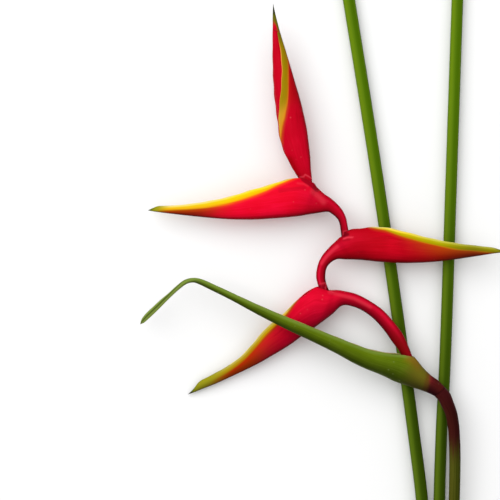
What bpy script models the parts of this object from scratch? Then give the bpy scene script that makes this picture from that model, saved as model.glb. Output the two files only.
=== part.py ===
# Cut heliconia stem lying on its side: flower head, flower stalk and two leaf stalks.
# The stem lies on Z = 0 with its cut end towards -Y and the flower head towards +Y.
# Lengths are in millimetres and turned into metres when a mesh is written.

import math

import bmesh
import bpy
from mathutils import Vector

millimetre = 0.001
collectionName = "heliconia_flower"

# Gap between neighbouring solids, and the wall of a bract.
touchGap = 0.3
bractWall = 0.7
leastHollow = 0.25

# Columns from the keel of a bract to one of its margins, rows from one edge point to the
# next, half the columns of a sheath, and how finely the flower stalk is divided.
bractColumns = 6
rowsPerPoint = 2
sheathColumns = 6
stalkResolution = 2

# Edges sharper than this stay sharp when a piece is shaded smooth.
sharpAngle = math.radians(50.0)

# Where the leaf stalks part from the stem, and their tips, along Y.
partY = 290.0
stalkTipY = 640.0

# Half the angle that a sheath goes round, and the middle of its back.
fullWrap = 176.0
wrapStep = fullWrap / sheathColumns
dorsalAngle = 270.0 - 2.5 * wrapStep
flatShare = math.cos(math.radians(wrapStep / 2))

# The pseudostem: centre line and outer radius by Y.
stemCentreX = [(-260.0, 3.0), (-130.0, 1.2), (0.0, 0.0), (150.0, -1.0), (245.0, -1.3)]
stemRadius = [(-260.0, 4.9), (-130.0, 5.1), (0.0, 5.4), (100.0, 5.7), (225.0, 6.2), (300.0, 6.2)]

outerSheath = {
    "name": "leaf_stalk_left",
    "inset": 0.0,
    "wall": [(-260.0, 1.0), (225.0, 1.0)],
    "radius": 3.08,
    "centreX": [(275.0, -9.2), (305.0, -11.5), (335.0, -15.2), (405.0, -24.8), (480.0, -35.9),
                (555.0, -47.9), (640.0, -61.8)],
    "grow": [(243.0, 1.0), (257.0, 0.85), (270.0, 0.55), (285.0, 0.2), (300.0, 0.0)],
    "wrap": [(205.0, 176.0), (225.0, 160.0), (243.0, 138.0), (300.0, 100.0)],
    "rows": [-260.0, -130.0, 0.0, 100.0, 175.0, 205.0, 215.0, 228.0, 243.0, 257.0, 270.0, 285.0,
             300.0, 330.0, 365.0, 405.0, 440.0, 480.0, 520.0, 560.0, 600.0, 640.0],
}
innerSheath = {
    "name": "leaf_stalk_right",
    "inset": 1.5,
    "wall": [(-260.0, 0.8), (225.0, 1.0)],
    "radius": 2.92,
    "centreX": [(265.0, -2.9), (300.0, -2.7), (335.0, -1.7), (375.0, 0.3), (455.0, 3.1),
                (555.0, 6.6), (640.0, 9.7)],
    "grow": [(213.0, 1.0), (226.0, 0.82), (239.0, 0.5), (252.0, 0.17), (265.0, 0.0)],
    "wrap": [(190.0, 176.0), (213.0, 150.0), (239.0, 115.0), (265.0, 100.0)],
    "rows": [-260.0, -130.0, 0.0, 100.0, 175.0, 190.0, 201.0, 213.0, 226.0, 239.0, 252.0, 265.0,
             290.0, 330.0, 365.0, 405.0, 440.0, 480.0, 520.0, 560.0, 600.0, 640.0],
}

# The flower stalk: x, y, z and radius from the cut end up to the scar under the green bract.
flowerStalk = [
    (3.0, -260.0, 4.74, 2.1), (1.2, -130.0, 4.93, 2.15), (0.0, 0.0, 5.22, 2.3),
    (-0.65, 100.0, 5.51, 2.45), (-1.2, 200.0, 5.9, 2.55), (-0.6, 230.0, 6.5, 2.6),
    (1.1, 246.0, 7.3, 2.6), (2.3, 262.0, 8.3, 2.6), (3.8, 285.0, 9.5, 2.7),
    (4.5, 310.0, 10.6, 2.8), (4.6, 327.5, 11.3, 2.85), (4.3, 336.5, 11.7, 2.85),
    (3.7, 343.0, 12.1, 2.9), (2.55, 348.5, 12.6, 3.0), (0.7, 353.1, 13.0, 3.2),
    (-1.0, 356.8, 13.15, 3.4), (-3.05, 359.1, 13.2, 3.4),
]

# Each bract grows as one skin with the red stem length below it.
# "rim" and "keel" are its two side edges, and the other lists give values by edge point:
# "lift" is the middle height, "half" the half thickness, "gap" the half opening of the
# margins, "near" and "far" how high the two margins reach, "turn" the twist in degrees.
# The hollow runs from edge point "floor" to edge point "pinch".
greenBract = {
    "name": "bract_green",
    "rim": [(-0.8, 361.7), (-3.9, 364.7), (-7.8, 367.6), (-11.4, 371.4), (-15.9, 377.3),
            (-19.8, 378.3), (-24.5, 378.7), (-30.0, 379.2), (-36.0, 380.2), (-43.0, 382.3),
            (-53.0, 386.2), (-65.3, 391.1), (-78.0, 396.2), (-92.0, 402.1), (-105.5, 408.2),
            (-117.0, 413.5), (-123.0, 415.9), (-126.8, 415.9), (-130.6, 414.7), (-134.3, 412.0),
            (-138.4, 408.3), (-142.1, 405.4), (-146.1, 401.8), (-149.9, 398.2), (-152.0, 395.5),
            (-152.9, 392.9)],
    "keel": [(-5.75, 357.0), (-9.0, 358.6), (-13.5, 360.3), (-19.0, 362.1), (-26.0, 364.5),
             (-30.2, 366.6), (-33.8, 368.2), (-36.5, 369.3), (-40.5, 370.9), (-46.8, 373.9),
             (-56.2, 379.1), (-68.5, 385.2), (-80.5, 390.9), (-94.2, 397.9), (-107.2, 405.0),
             (-118.2, 410.5), (-123.9, 413.2), (-126.8, 414.0), (-129.75, 413.4), (-133.4, 410.7),
             (-137.3, 407.1), (-140.5, 403.8), (-144.3, 399.9), (-148.2, 396.2), (-150.8, 393.9),
             (-152.9, 392.9)],
    "lift": [(0, 13.2), (2, 14.1), (4, 15.3), (7, 16.6), (9, 17.8), (11, 19.7), (13, 20.5),
             (15, 20.2), (17, 19.0), (20, 17.0), (25, 12.8)],
    "half": [(0, 3.4), (2, 4.2), (4, 6.2), (5, 6.2), (7, 5.0), (9, 4.0), (11, 3.1), (13, 2.5),
             (15, 1.8), (17, 1.2), (19, 0.8), (22, 0.9), (24, 0.8), (25, 0.3)],
    "gap": [(0, 0.0), (3, 0.0), (4, 1.0), (6, 1.2), (9, 0.5), (14, 0.3), (15, 0.0), (25, 0.0)],
    "near": [(0, 0.93), (5, 0.93), (7, 0.95), (10, 0.97), (14, 0.97), (25, 0.97)],
    "far": [(0, 0.93), (5, 0.95), (8, 0.98), (14, 0.98), (25, 0.97)],
    "turn": [(0, 0.0), (16, 0.0), (19, 50.0), (22, 80.0), (25, 80.0)],
    "fold": 0.55,
    "floor": 4,
    "pinch": 14,
}
lowerBract = {
    "name": "bract_red_lower",
    "rim": [(-16.9, 376.55), (-18.7, 381.5), (-21.9, 388.4), (-26.1, 393.9), (-31.5, 399.9),
            (-38.0, 404.5), (-44.8, 408.0), (-51.5, 409.6), (-55.2, 410.2), (-57.9, 410.7),
            (-63.5, 412.8), (-68.4, 410.2), (-73.4, 406.2), (-78.6, 401.0), (-83.8, 396.3),
            (-90.2, 390.8), (-97.0, 382.8), (-102.0, 377.2), (-108.5, 372.1), (-116.5, 367.5),
            (-123.2, 363.9), (-126.8, 359.6), (-129.5, 356.9)],
    "keel": [(-20.3, 372.4), (-23.2, 379.0), (-26.8, 383.9), (-31.2, 390.1), (-36.2, 395.6),
             (-41.7, 399.6), (-47.0, 401.8), (-51.9, 402.1), (-57.0, 397.7), (-64.0, 392.4),
             (-68.0, 389.5), (-70.0, 388.2), (-72.5, 386.5), (-76.2, 383.6), (-80.5, 380.7),
             (-86.0, 377.4), (-92.8, 373.4), (-98.8, 370.3), (-105.9, 366.9), (-114.5, 362.9),
             (-122.2, 359.8), (-126.0, 358.2), (-129.5, 356.9)],
    "lift": [(0, 15.3), (3, 13.9), (6, 12.2), (9, 11.0), (10, 10.6), (12, 9.6), (15, 7.0),
             (18, 4.2), (20, 2.8), (22, 1.2)],
    "half": [(0, 2.2), (3, 2.5), (6, 2.7), (8, 4.0), (9, 5.2), (10, 5.3), (13, 4.9), (16, 3.4),
             (18, 2.0), (20, 1.5), (21, 0.9), (22, 0.3)],
    "gap": [(0, 0.0), (8, 0.0), (9, 0.8), (11, 0.8), (14, 0.5), (18, 0.3), (19, 0.0), (22, 0.0)],
    "near": [(0, 0.93), (10, 0.93), (12, 0.95), (18, 0.96), (22, 0.97)],
    "far": [(0, 0.93), (10, 0.95), (12, 0.98), (22, 0.98)],
    "turn": [(0, 0.0), (22, 0.0)],
    "fold": 0.85,
    "floor": 9,
    "pinch": 18,
}
rightBract = {
    "name": "bract_red_right",
    "rim": [(-61.0, 403.2), (-64.1, 412.8), (-64.9, 417.8), (-63.8, 423.4), (-61.6, 427.6),
            (-58.3, 431.4), (-55.5, 434.3), (-53.3, 436.8), (-49.0, 440.6), (-42.0, 441.5),
            (-35.3, 441.9), (-29.0, 441.5), (-19.6, 439.3), (-7.4, 436.1), (4.7, 433.7),
            (14.5, 432.4), (22.9, 431.4), (27.0, 430.3), (33.0, 429.2)],
    "keel": [(-58.6, 410.1), (-59.9, 413.8), (-60.3, 417.0), (-59.6, 421.0), (-57.4, 423.8),
             (-54.3, 425.4), (-50.0, 425.3), (-45.5, 425.2), (-40.5, 424.9), (-35.5, 424.3),
             (-30.2, 423.9), (-25.0, 423.6), (-17.5, 423.5), (-6.8, 424.0), (4.5, 425.3),
             (14.5, 426.8), (22.9, 428.1), (27.0, 428.6), (33.0, 429.2)],
    "lift": [(0, 11.0), (3, 11.8), (6, 13.0), (9, 13.7), (12, 13.7), (15, 13.0), (18, 12.0)],
    "half": [(0, 2.1), (4, 2.1), (6, 2.8), (7, 4.2), (8, 5.0), (10, 5.3), (12, 5.0), (13, 4.3),
             (14, 3.3), (15, 2.3), (16, 1.5), (17, 0.9), (18, 0.25)],
    "gap": [(0, 0.0), (6, 0.0), (7, 0.8), (9, 0.9), (12, 0.5), (15, 0.3), (16, 0.0), (18, 0.0)],
    "near": [(0, 0.93), (8, 0.93), (10, 0.95), (15, 0.96), (18, 0.97)],
    "far": [(0, 0.93), (8, 0.95), (10, 0.98), (18, 0.98)],
    "turn": [(0, 0.0), (18, 0.0)],
    "fold": 0.85,
    "floor": 7,
    "pinch": 15,
}
leftBract = {
    "name": "bract_red_left",
    "rim": [(-48.3, 430.1), (-48.6, 438.0), (-49.3, 442.8), (-50.2, 446.7), (-51.9, 450.0),
            (-54.3, 452.9), (-57.5, 455.8), (-61.2, 458.3), (-64.3, 461.5), (-66.2, 464.5),
            (-71.5, 467.1), (-77.5, 466.4), (-83.4, 464.7), (-90.4, 462.4), (-97.5, 460.4),
            (-108.0, 457.1), (-118.0, 454.9), (-128.0, 453.3), (-137.0, 452.4), (-143.5, 452.2),
            (-146.8, 451.1), (-149.3, 449.9)],
    "keel": [(-51.9, 435.3), (-52.4, 437.5), (-53.1, 442.5), (-53.9, 444.9), (-55.3, 446.6),
             (-57.2, 448.1), (-59.2, 449.1), (-63.5, 448.6), (-68.5, 447.8), (-73.2, 447.0),
             (-77.5, 446.5), (-82.0, 446.1), (-86.2, 445.8), (-92.0, 445.4), (-98.8, 445.2),
             (-108.5, 445.4), (-118.0, 446.1), (-127.8, 447.1), (-136.8, 448.1),
             (-143.3, 448.9), (-146.7, 449.4), (-149.3, 449.9)],
    "lift": [(0, 13.2), (9, 13.6), (12, 13.3), (15, 12.2), (18, 9.8), (21, 8.2)],
    "half": [(0, 1.9), (5, 1.9), (7, 3.0), (9, 5.2), (11, 5.6), (13, 5.0), (15, 4.0), (17, 2.6),
             (18, 1.9), (19, 1.5), (20, 0.8), (21, 0.25)],
    "gap": [(0, 0.0), (8, 0.0), (9, 1.0), (10, 1.3), (11, 1.2), (14, 0.5), (18, 0.3), (19, 0.0),
            (21, 0.0)],
    "near": [(0, 0.93), (10, 0.93), (12, 0.95), (18, 0.96), (21, 0.97)],
    "far": [(0, 0.93), (10, 0.95), (12, 0.98), (21, 0.98)],
    "turn": [(0, 0.0), (21, 0.0)],
    "fold": 0.85,
    "floor": 9,
    "pinch": 18,
}
topBract = {
    "name": "bract_red_top",
    "rim": [(-70.3, 455.5), (-73.2, 464.5), (-75.7, 468.5), (-79.0, 473.8), (-81.8, 480.2),
            (-83.6, 487.0), (-84.6, 495.0), (-85.6, 502.5), (-86.4, 511.0), (-86.8, 520.0),
            (-86.9, 530.0), (-86.8, 539.0), (-86.7, 547.0), (-86.5, 553.3)],
    "keel": [(-66.9, 463.6), (-67.2, 467.0), (-67.6, 471.0), (-67.9, 476.5), (-68.6, 483.0),
             (-69.6, 490.5), (-71.2, 498.0), (-73.0, 505.5), (-75.3, 513.2), (-77.8, 521.8),
             (-80.4, 530.5), (-83.0, 539.0), (-85.1, 547.0), (-86.5, 553.3)],
    "lift": [(0, 13.5), (3, 13.6), (8, 14.0), (13, 14.6)],
    "half": [(0, 2.1), (1, 2.3), (2, 3.1), (3, 4.2), (4, 5.0), (6, 5.4), (8, 4.6), (9, 3.8), (10, 2.8),
             (11, 1.9), (12, 0.9), (13, 0.25)],
    "gap": [(0, 0.0), (1, 0.0), (2, 0.3), (4, 0.5), (9, 0.5), (11, 0.2), (12, 0.0), (13, 0.0)],
    "near": [(0, 0.93), (4, 0.95), (5, 0.97), (6, 0.93), (7, 0.8), (8, 0.62), (9, 0.45),
             (10, 0.34), (11, 0.28), (13, 0.97)],
    "far": [(0, 0.93), (3, 0.95), (5, 0.98), (13, 0.98)],
    "turn": [(0, 0.0), (13, 0.0)],
    "fold": 0.95,
    "floor": 2,
    "pinch": 11,
}

# The young bract rolled up inside the top bract, by the top bract's edge points.
youngBract = {
    "name": "bract_red_young",
    "first": 2.15,
    "last": 10.85,
    "rows": 14,
    "columns": 16,
    "rimShare": 0.93,
    "bluntness": 2.2,
}

# The finish of each piece.
finishes = {
    "leaf_stalk_left": {"colour": (0.13, 0.25, 0.02), "roughness": 0.45},
    "leaf_stalk_right": {"colour": (0.15, 0.26, 0.03), "roughness": 0.45},
    "flower_stalk": {"colour": (0.12, 0.08, 0.02), "roughness": 0.45},
    "bract_green": {"colour": (0.14, 0.24, 0.02), "roughness": 0.4},
    "bract_red_lower": {"colour": (0.72, 0.02, 0.02), "roughness": 0.35},
    "bract_red_right": {"colour": (0.74, 0.01, 0.02), "roughness": 0.35},
    "bract_red_left": {"colour": (0.8, 0.01, 0.02), "roughness": 0.35},
    "bract_red_top": {"colour": (0.7, 0.01, 0.02), "roughness": 0.35},
    "bract_red_young": {"colour": (0.6, 0.01, 0.03), "roughness": 0.4},
}


def removeOldObjects():
    for item in list(bpy.data.objects):
        bpy.data.objects.remove(item, do_unlink=True)


def valueAt(knots, place):
    # Smooth line through the knots that never overshoots them.
    if place <= knots[0][0]:
        return knots[0][1]
    if place >= knots[-1][0]:
        return knots[-1][1]
    slopes = []
    for (x0, y0), (x1, y1) in zip(knots, knots[1:]):
        slopes.append((y1 - y0) / (x1 - x0))
    index = 0
    while place > knots[index + 1][0]:
        index += 1
    (x0, y0), (x1, y1) = knots[index], knots[index + 1]
    startSlope = knotSlope(slopes, index)
    endSlope = knotSlope(slopes, index + 1)
    width = x1 - x0
    t = (place - x0) / width
    h00 = 2 * t ** 3 - 3 * t ** 2 + 1
    h10 = t ** 3 - 2 * t ** 2 + t
    h01 = 3 * t ** 2 - 2 * t ** 3
    h11 = t ** 3 - t ** 2
    return h00 * y0 + h10 * width * startSlope + h01 * y1 + h11 * width * endSlope


def knotSlope(slopes, index):
    if index == 0:
        return slopes[0]
    if index == len(slopes):
        return slopes[-1]
    before, after = slopes[index - 1], slopes[index]
    if before * after <= 0:
        return 0.0
    return 2 * before * after / (before + after)


def edgeAt(points, place):
    # Catmull-Rom line through the edge points.
    last = len(points) - 1
    index = min(int(place), last - 1)
    t = place - index
    p1, p2 = Vector(points[index]), Vector(points[index + 1])
    p0 = Vector(points[index - 1]) if index > 0 else 2 * p1 - p2
    p3 = Vector(points[index + 2]) if index + 2 <= last else 2 * p2 - p1
    return 0.5 * (2 * p1 + (p2 - p0) * t + (2 * p0 - 5 * p1 + 4 * p2 - p3) * t ** 2
                  + (3 * p1 - p0 - 3 * p2 + p3) * t ** 3)


def bractSection(bract, place):
    # Middle, length and axes of the cross-section at one edge point.
    rim = edgeAt(bract["rim"], place)
    keel = edgeAt(bract["keel"], place)
    across = rim - keel
    direction = Vector((across.x, across.y, 0.0))
    if direction.length < leastHollow:
        before = edgeAt(bract["rim"], place - 1) - edgeAt(bract["keel"], place - 1)
        direction = Vector((before.x, before.y, 0.0))
    direction.normalize()
    turn = math.radians(valueAt(bract["turn"], place))
    flat = across.length / 2
    thick = valueAt(bract["half"], place)
    middle = (rim + keel) / 2
    upright = Vector((0.0, 0.0, 1.0))
    return {
        "middle": Vector((middle.x, middle.y, valueAt(bract["lift"], place))),
        "tall": flat * abs(math.cos(turn)) + thick * abs(math.sin(turn)),
        "half": thick * abs(math.cos(turn)) + flat * abs(math.sin(turn)),
        "gap": valueAt(bract["gap"], place),
        "up": direction * math.cos(turn) + upright * math.sin(turn),
        "out": upright * math.cos(turn) - direction * math.sin(turn),
    }


def profile(section, angle):
    # Height above the keel and distance from the middle plane at one angle from the keel.
    share = (1 - math.cos(angle)) / 2
    height = 2 * section["tall"] * share
    outward = section["half"] * math.sin(angle) + section["gap"] * share
    return height, outward


def innerProfile(section, angle):
    # The same outline moved inwards by the wall, and kept open along the middle.
    step = math.radians(1.0)
    low = profile(section, max(angle - step, 0.0))
    high = profile(section, min(angle + step, math.pi))
    run = Vector((high[0] - low[0], high[1] - low[1]))
    if angle < step:
        run = Vector((0.0, 1.0))
    run.normalize()
    height, outward = profile(section, angle)
    height += run.y * bractWall
    outward -= run.x * bractWall
    if angle > step:
        outward = max(outward, leastHollow)
    return height, outward


def placed(section, height, outward):
    rise = height - section["tall"]
    return section["middle"] + section["up"] * rise + section["out"] * outward


def bractRing(bract, place):
    # Points from the far margin round the keel to the near margin, outside and inside.
    reach = {1: "near", -1: "far"}
    section = bractSection(bract, place)
    outer, inner = [], []
    for column in range(-bractColumns, bractColumns + 1):
        side = 1 if column >= 0 else -1
        share = valueAt(bract[reach[side]], place)
        widest = math.acos(1 - 2 * share)
        angle = widest * abs(column) / bractColumns
        height, outward = profile(section, angle)
        outer.append(placed(section, height, side * outward))
        height, outward = innerProfile(section, angle)
        inner.append(placed(section, height, side * outward))
    return section, outer, inner


def addMesh(name, points, faces):
    base = points[0]
    mesh = bpy.data.meshes.new(name)
    mesh.from_pydata([(point - base) * millimetre for point in points], [], faces)
    shell = bmesh.new()
    shell.from_mesh(mesh)
    bmesh.ops.recalc_face_normals(shell, faces=shell.faces)
    shell.to_mesh(mesh)
    shell.free()
    mesh.shade_smooth()
    mesh.set_sharp_from_angle(angle=sharpAngle)
    mesh.materials.append(makeMaterial(name))
    item = bpy.data.objects.new(name, mesh)
    item.location = base * millimetre
    collection.objects.link(item)
    return item


def addBract(bract):
    points, faces = [], []
    outerRows, innerRows, seams = [], [], []
    last = (len(bract["rim"]) - 1) * rowsPerPoint
    floor, pinch = bract["floor"] * rowsPerPoint, bract["pinch"] * rowsPerPoint
    width = 2 * bractColumns
    middle = bractColumns

    def keep(newPoints):
        start = len(points)
        points.extend(newPoints)
        return list(range(start, start + len(newPoints)))

    for row in range(last):
        section, outer, inner = bractRing(bract, row / rowsPerPoint)
        outerRows.append(keep(outer))
        seam = None
        if row <= floor or row >= pinch:
            share = 1.0 if row <= pinch else bract["fold"]
            seam = keep([placed(section, 2 * section["tall"] * share, 0.0)])[0]
        seams.append(seam)
        innerRows.append(keep(inner) if floor <= row <= pinch else None)
    tip = keep([bractSection(bract, last / rowsPerPoint)["middle"]])[0]

    # Outside skin, with the margins joined before the floor and after the pinch.
    for row in range(last - 1):
        here, there = outerRows[row], outerRows[row + 1]
        for column in range(width):
            faces.append((here[column], here[column + 1], there[column + 1], there[column]))
        if seams[row] is not None and seams[row + 1] is not None:
            faces.append((here[width], seams[row], seams[row + 1], there[width]))
            faces.append((seams[row], here[0], there[0], seams[row + 1]))

    # Inside skin and the two margins.
    for row in range(floor, pinch):
        here, there = innerRows[row], innerRows[row + 1]
        outHere, outThere = outerRows[row], outerRows[row + 1]
        for column in range(width):
            faces.append((here[column], there[column], there[column + 1], here[column + 1]))
        faces.append((outHere[width], here[width], there[width], outThere[width]))
        faces.append((outHere[0], outThere[0], there[0], here[0]))

    # Walls across the hollow at its floor and at its pinched end.
    for row, forward in ((floor, True), (pinch, False)):
        inner, outer, seam = innerRows[row], outerRows[row], seams[row]
        wall = [(outer[width], seam, inner[width]), (seam, outer[0], inner[0]),
                (inner[width], seam, inner[0])]
        for step in range(middle):
            low, high = middle - step, middle + step
            if step == 0:
                wall.append((inner[middle], inner[middle + 1], inner[middle - 1]))
            else:
                wall.append((inner[low], inner[high], inner[high + 1], inner[low - 1]))
        for face in wall:
            faces.append(face if forward else tuple(reversed(face)))

    # Flat base and pointed tip.
    faces.append(tuple(reversed(outerRows[0] + [seams[0]])))
    ring = outerRows[last - 1] + [seams[last - 1]]
    for index in range(len(ring)):
        faces.append((ring[index], ring[(index + 1) % len(ring)], tip))
    return addMesh(bract["name"], points, faces)


def addYoungBract():
    points, faces, rings = [], [], []
    count, columns = youngBract["rows"], youngBract["columns"]
    inset = bractWall + touchGap
    for row in range(1, count):
        place = youngBract["first"] + (youngBract["last"] - youngBract["first"]) * row / count
        section = bractSection(topBract, place)
        low = inset / (2 * section["tall"])
        high = youngBract["rimShare"]
        half = section["half"] - inset
        swell = min(1.0, math.sin(math.pi * row / count) * youngBract["bluntness"])
        centre = (low + high) / 2
        reachUp = (high - low) / 2
        ring = []
        for column in range(columns):
            angle = 2 * math.pi * column / columns
            share = centre - reachUp * math.cos(angle) * swell
            outward = half * math.sin(angle) * swell
            ring.append(placed(section, 2 * section["tall"] * share, outward))
        start = len(points)
        points.extend(ring)
        rings.append(list(range(start, start + columns)))
    for here, there in zip(rings, rings[1:]):
        for column in range(columns):
            after = (column + 1) % columns
            faces.append((here[column], here[after], there[after], there[column]))
    base = bractSection(topBract, youngBract["first"])
    tip = bractSection(topBract, youngBract["last"])
    for section, ring, forward in ((base, rings[0], False), (tip, rings[-1], True)):
        points.append(section["middle"].copy())
        point = len(points) - 1
        for column in range(columns):
            face = (ring[column], ring[(column + 1) % columns], point)
            faces.append(face if forward else tuple(reversed(face)))
    return addMesh(youngBract["name"], points, faces)


def stalkCentre(sheath, y):
    # Straight leaf stalk from where it parts from the stem to its cut tip on the floor.
    low = flatShare * valueAt(stemRadius, partY)
    share = max(0.0, (y - partY) / (stalkTipY - partY))
    z = low + (sheath["radius"] - low) * share
    return Vector((valueAt(sheath["centreX"], y), y, z))


def sheathRing(sheath, y):
    # Outer points round the back, then inner points back again.
    radius = valueAt(stemRadius, y)
    centre = Vector((valueAt(stemCentreX, y), y, flatShare * radius))
    outerRadius = radius - sheath["inset"]
    innerRadius = outerRadius - valueAt(sheath["wall"], y)
    wrap = valueAt(sheath["wrap"], y)
    grown = valueAt(sheath["grow"], y)
    stalk = stalkCentre(sheath, y)
    count = 2 * (2 * sheathColumns + 1)
    even = 360.0 / count
    ring = []
    for index in range(count):
        outside = index < count // 2
        column = index - sheathColumns if outside else count - 1 - index - sheathColumns
        sheathAngle = math.radians(dorsalAngle + wrap * column / sheathColumns)
        sheathRadius = outerRadius if outside else innerRadius
        wide = centre + sheathRadius * Vector((math.cos(sheathAngle), 0.0, math.sin(sheathAngle)))
        roundAngle = math.radians(dorsalAngle + even * (index - sheathColumns))
        thin = stalk + sheath["radius"] * Vector((math.cos(roundAngle), 0.0, math.sin(roundAngle)))
        point = thin.lerp(wide, grown)
        point.z = max(point.z, 0.0)
        ring.append(point)
    return ring


def addSheath(sheath):
    points, faces, rings = [], [], []
    for y in sheath["rows"]:
        ring = sheathRing(sheath, y)
        start = len(points)
        points.extend(ring)
        rings.append(list(range(start, start + len(ring))))
    count = len(rings[0])
    for here, there in zip(rings, rings[1:]):
        for index in range(count):
            after = (index + 1) % count
            faces.append((here[index], there[index], there[after], here[after]))
    for ring, forward in ((rings[0], True), (rings[-1], False)):
        for index in range(count // 2 - 1):
            face = (ring[index], ring[index + 1], ring[count - 2 - index], ring[count - 1 - index])
            faces.append(face if forward else tuple(reversed(face)))
    return addMesh(sheath["name"], points, faces)


def addFlowerStalk():
    # The bevel is one millimetre thick, so that a point's radius is its real one.
    curve = bpy.data.curves.new("flower_stalk", "CURVE")
    curve.dimensions = "3D"
    curve.bevel_depth = millimetre
    curve.bevel_resolution = stalkResolution
    curve.resolution_u = stalkResolution
    curve.use_fill_caps = True
    spline = curve.splines.new("BEZIER")
    spline.bezier_points.add(len(flowerStalk) - 1)
    base = Vector(flowerStalk[0][:3])
    for point, (x, y, z, radius) in zip(spline.bezier_points, flowerStalk):
        point.co = (Vector((x, y, z)) - base) * millimetre
        point.radius = radius
        point.handle_left_type = "AUTO"
        point.handle_right_type = "AUTO"
    curve.materials.append(makeMaterial("flower_stalk"))
    item = bpy.data.objects.new("flower_stalk", curve)
    item.location = base * millimetre
    collection.objects.link(item)
    return item


def makeMaterial(name):
    material = bpy.data.materials.new(name)
    material.use_nodes = True
    shader = material.node_tree.nodes["Principled BSDF"]
    shader.inputs["Base Color"].default_value = (*finishes[name]["colour"], 1.0)
    shader.inputs["Roughness"].default_value = finishes[name]["roughness"]
    return material


removeOldObjects()
collection = bpy.data.collections.new(collectionName)
bpy.context.scene.collection.children.link(collection)

addSheath(outerSheath)
addSheath(innerSheath)
addFlowerStalk()
for bract in (greenBract, lowerBract, rightBract, leftBract, topBract):
    addBract(bract)
addYoungBract()
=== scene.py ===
# Looks of a cut heliconia stem on a pale floor: fine skins, colours, studio light and camera.
# Sizes are in millimetres and turned into metres when a mesh is written.

import math

import bmesh
import bpy
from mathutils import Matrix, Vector


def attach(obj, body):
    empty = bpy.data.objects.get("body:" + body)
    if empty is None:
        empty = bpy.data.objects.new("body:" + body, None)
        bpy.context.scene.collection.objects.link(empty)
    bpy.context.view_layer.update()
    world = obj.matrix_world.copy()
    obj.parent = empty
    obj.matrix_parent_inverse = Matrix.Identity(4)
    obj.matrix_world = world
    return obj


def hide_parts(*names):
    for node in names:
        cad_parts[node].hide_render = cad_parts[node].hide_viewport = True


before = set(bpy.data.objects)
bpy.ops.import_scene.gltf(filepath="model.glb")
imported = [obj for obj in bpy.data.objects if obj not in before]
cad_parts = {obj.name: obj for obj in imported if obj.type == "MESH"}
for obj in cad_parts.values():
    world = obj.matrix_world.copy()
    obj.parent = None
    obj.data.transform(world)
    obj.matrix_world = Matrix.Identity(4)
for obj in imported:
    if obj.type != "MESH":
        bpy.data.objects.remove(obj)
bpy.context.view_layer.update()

millimetre = 0.001
upright = Vector((0.0, 0.0, 1.0))


# Smooth lines through knots

def valueAt(knots, place):
    if place <= knots[0][0]:
        return knots[0][1]
    if place >= knots[-1][0]:
        return knots[-1][1]
    slopes = []
    for (x0, y0), (x1, y1) in zip(knots, knots[1:]):
        slopes.append((y1 - y0) / (x1 - x0))
    index = 0
    while place > knots[index + 1][0]:
        index += 1
    (x0, y0), (x1, y1) = knots[index], knots[index + 1]
    width = x1 - x0
    t = (place - x0) / width
    h00 = 2 * t ** 3 - 3 * t ** 2 + 1
    h10 = t ** 3 - 2 * t ** 2 + t
    h01 = 3 * t ** 2 - 2 * t ** 3
    h11 = t ** 3 - t ** 2
    startSlope, endSlope = knotSlope(slopes, index), knotSlope(slopes, index + 1)
    return h00 * y0 + h10 * width * startSlope + h01 * y1 + h11 * width * endSlope


def knotSlope(slopes, index):
    # Slope at a knot that never lets the line overshoot.
    if index == 0:
        return slopes[0]
    if index == len(slopes):
        return slopes[-1]
    before, after = slopes[index - 1], slopes[index]
    if before * after <= 0:
        return 0.0
    return 2 * before * after / (before + after)


def edgeAt(points, place):
    # Catmull-Rom line through the points of an edge.
    last = len(points) - 1
    index = min(int(place), last - 1)
    t = place - index
    p1, p2 = Vector(points[index]), Vector(points[index + 1])
    p0 = Vector(points[index - 1]) if index > 0 else 2 * p1 - p2
    p3 = Vector(points[index + 2]) if index + 2 <= last else 2 * p2 - p1
    return 0.5 * (2 * p1 + (p2 - p0) * t + (2 * p0 - 5 * p1 + 4 * p2 - p3) * t ** 2
                  + (3 * p1 - p0 - 3 * p2 + p3) * t ** 3)


def smooth(low, high, value):
    t = min(max((value - low) / (high - low), 0.0), 1.0)
    return t * t * (3 - 2 * t)


def nearLines(lines, point):
    # How much of a soft painted line a point gets, by its distance from it seen from above.
    most = 0.0
    for strength, full, end, line in lines:
        for (x0, y0), (x1, y1) in zip(line, line[1:]):
            run, offset = Vector((x1 - x0, y1 - y0)), Vector((point.x - x0, point.y - y0))
            t = min(max(offset.dot(run) / run.length_squared, 0.0), 1.0)
            away = (offset - run * t).length
            most = max(most, strength * (1.0 - smooth(full, end, away)))
    return most


# Shader node helpers

def addNode(tree, kind, sockets=None, **settings):
    item = tree.nodes.new(kind)
    for name, value in settings.items():
        setattr(item, name, value)
    for name, value in (sockets or {}).items():
        if isinstance(value, bpy.types.NodeSocket):
            tree.links.new(value, item.inputs[name])
        else:
            item.inputs[name].default_value = value
    return item


def mark(tree, name, output="Fac"):
    return addNode(tree, "ShaderNodeAttribute", attribute_name=name).outputs[output]


def objectPlace(tree):
    return addNode(tree, "ShaderNodeTexCoord").outputs["Object"]


def math2(tree, operation, first, second=0.0):
    return addNode(tree, "ShaderNodeMath", {0: first, 1: second}, operation=operation).outputs[0]


def plus(tree, first, second):
    return math2(tree, "ADD", first, second)


def times(tree, first, second):
    return math2(tree, "MULTIPLY", first, second)


def centred(tree, noise):
    return math2(tree, "SUBTRACT", noise, 0.5)


def roughened(tree, value, grain, share):
    # A value shifted by the grain, so that no border runs smooth.
    return plus(tree, value, times(tree, grain, share))


def spread(tree, value, low, high, start=0.0, end=1.0):
    # Smooth step of a value from start to end between low and high.
    sockets = {"Value": value, "From Min": low, "From Max": high, "To Min": start, "To Max": end}
    return addNode(tree, "ShaderNodeMapRange", sockets, interpolation_type="SMOOTHSTEP").outputs[0]


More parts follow.
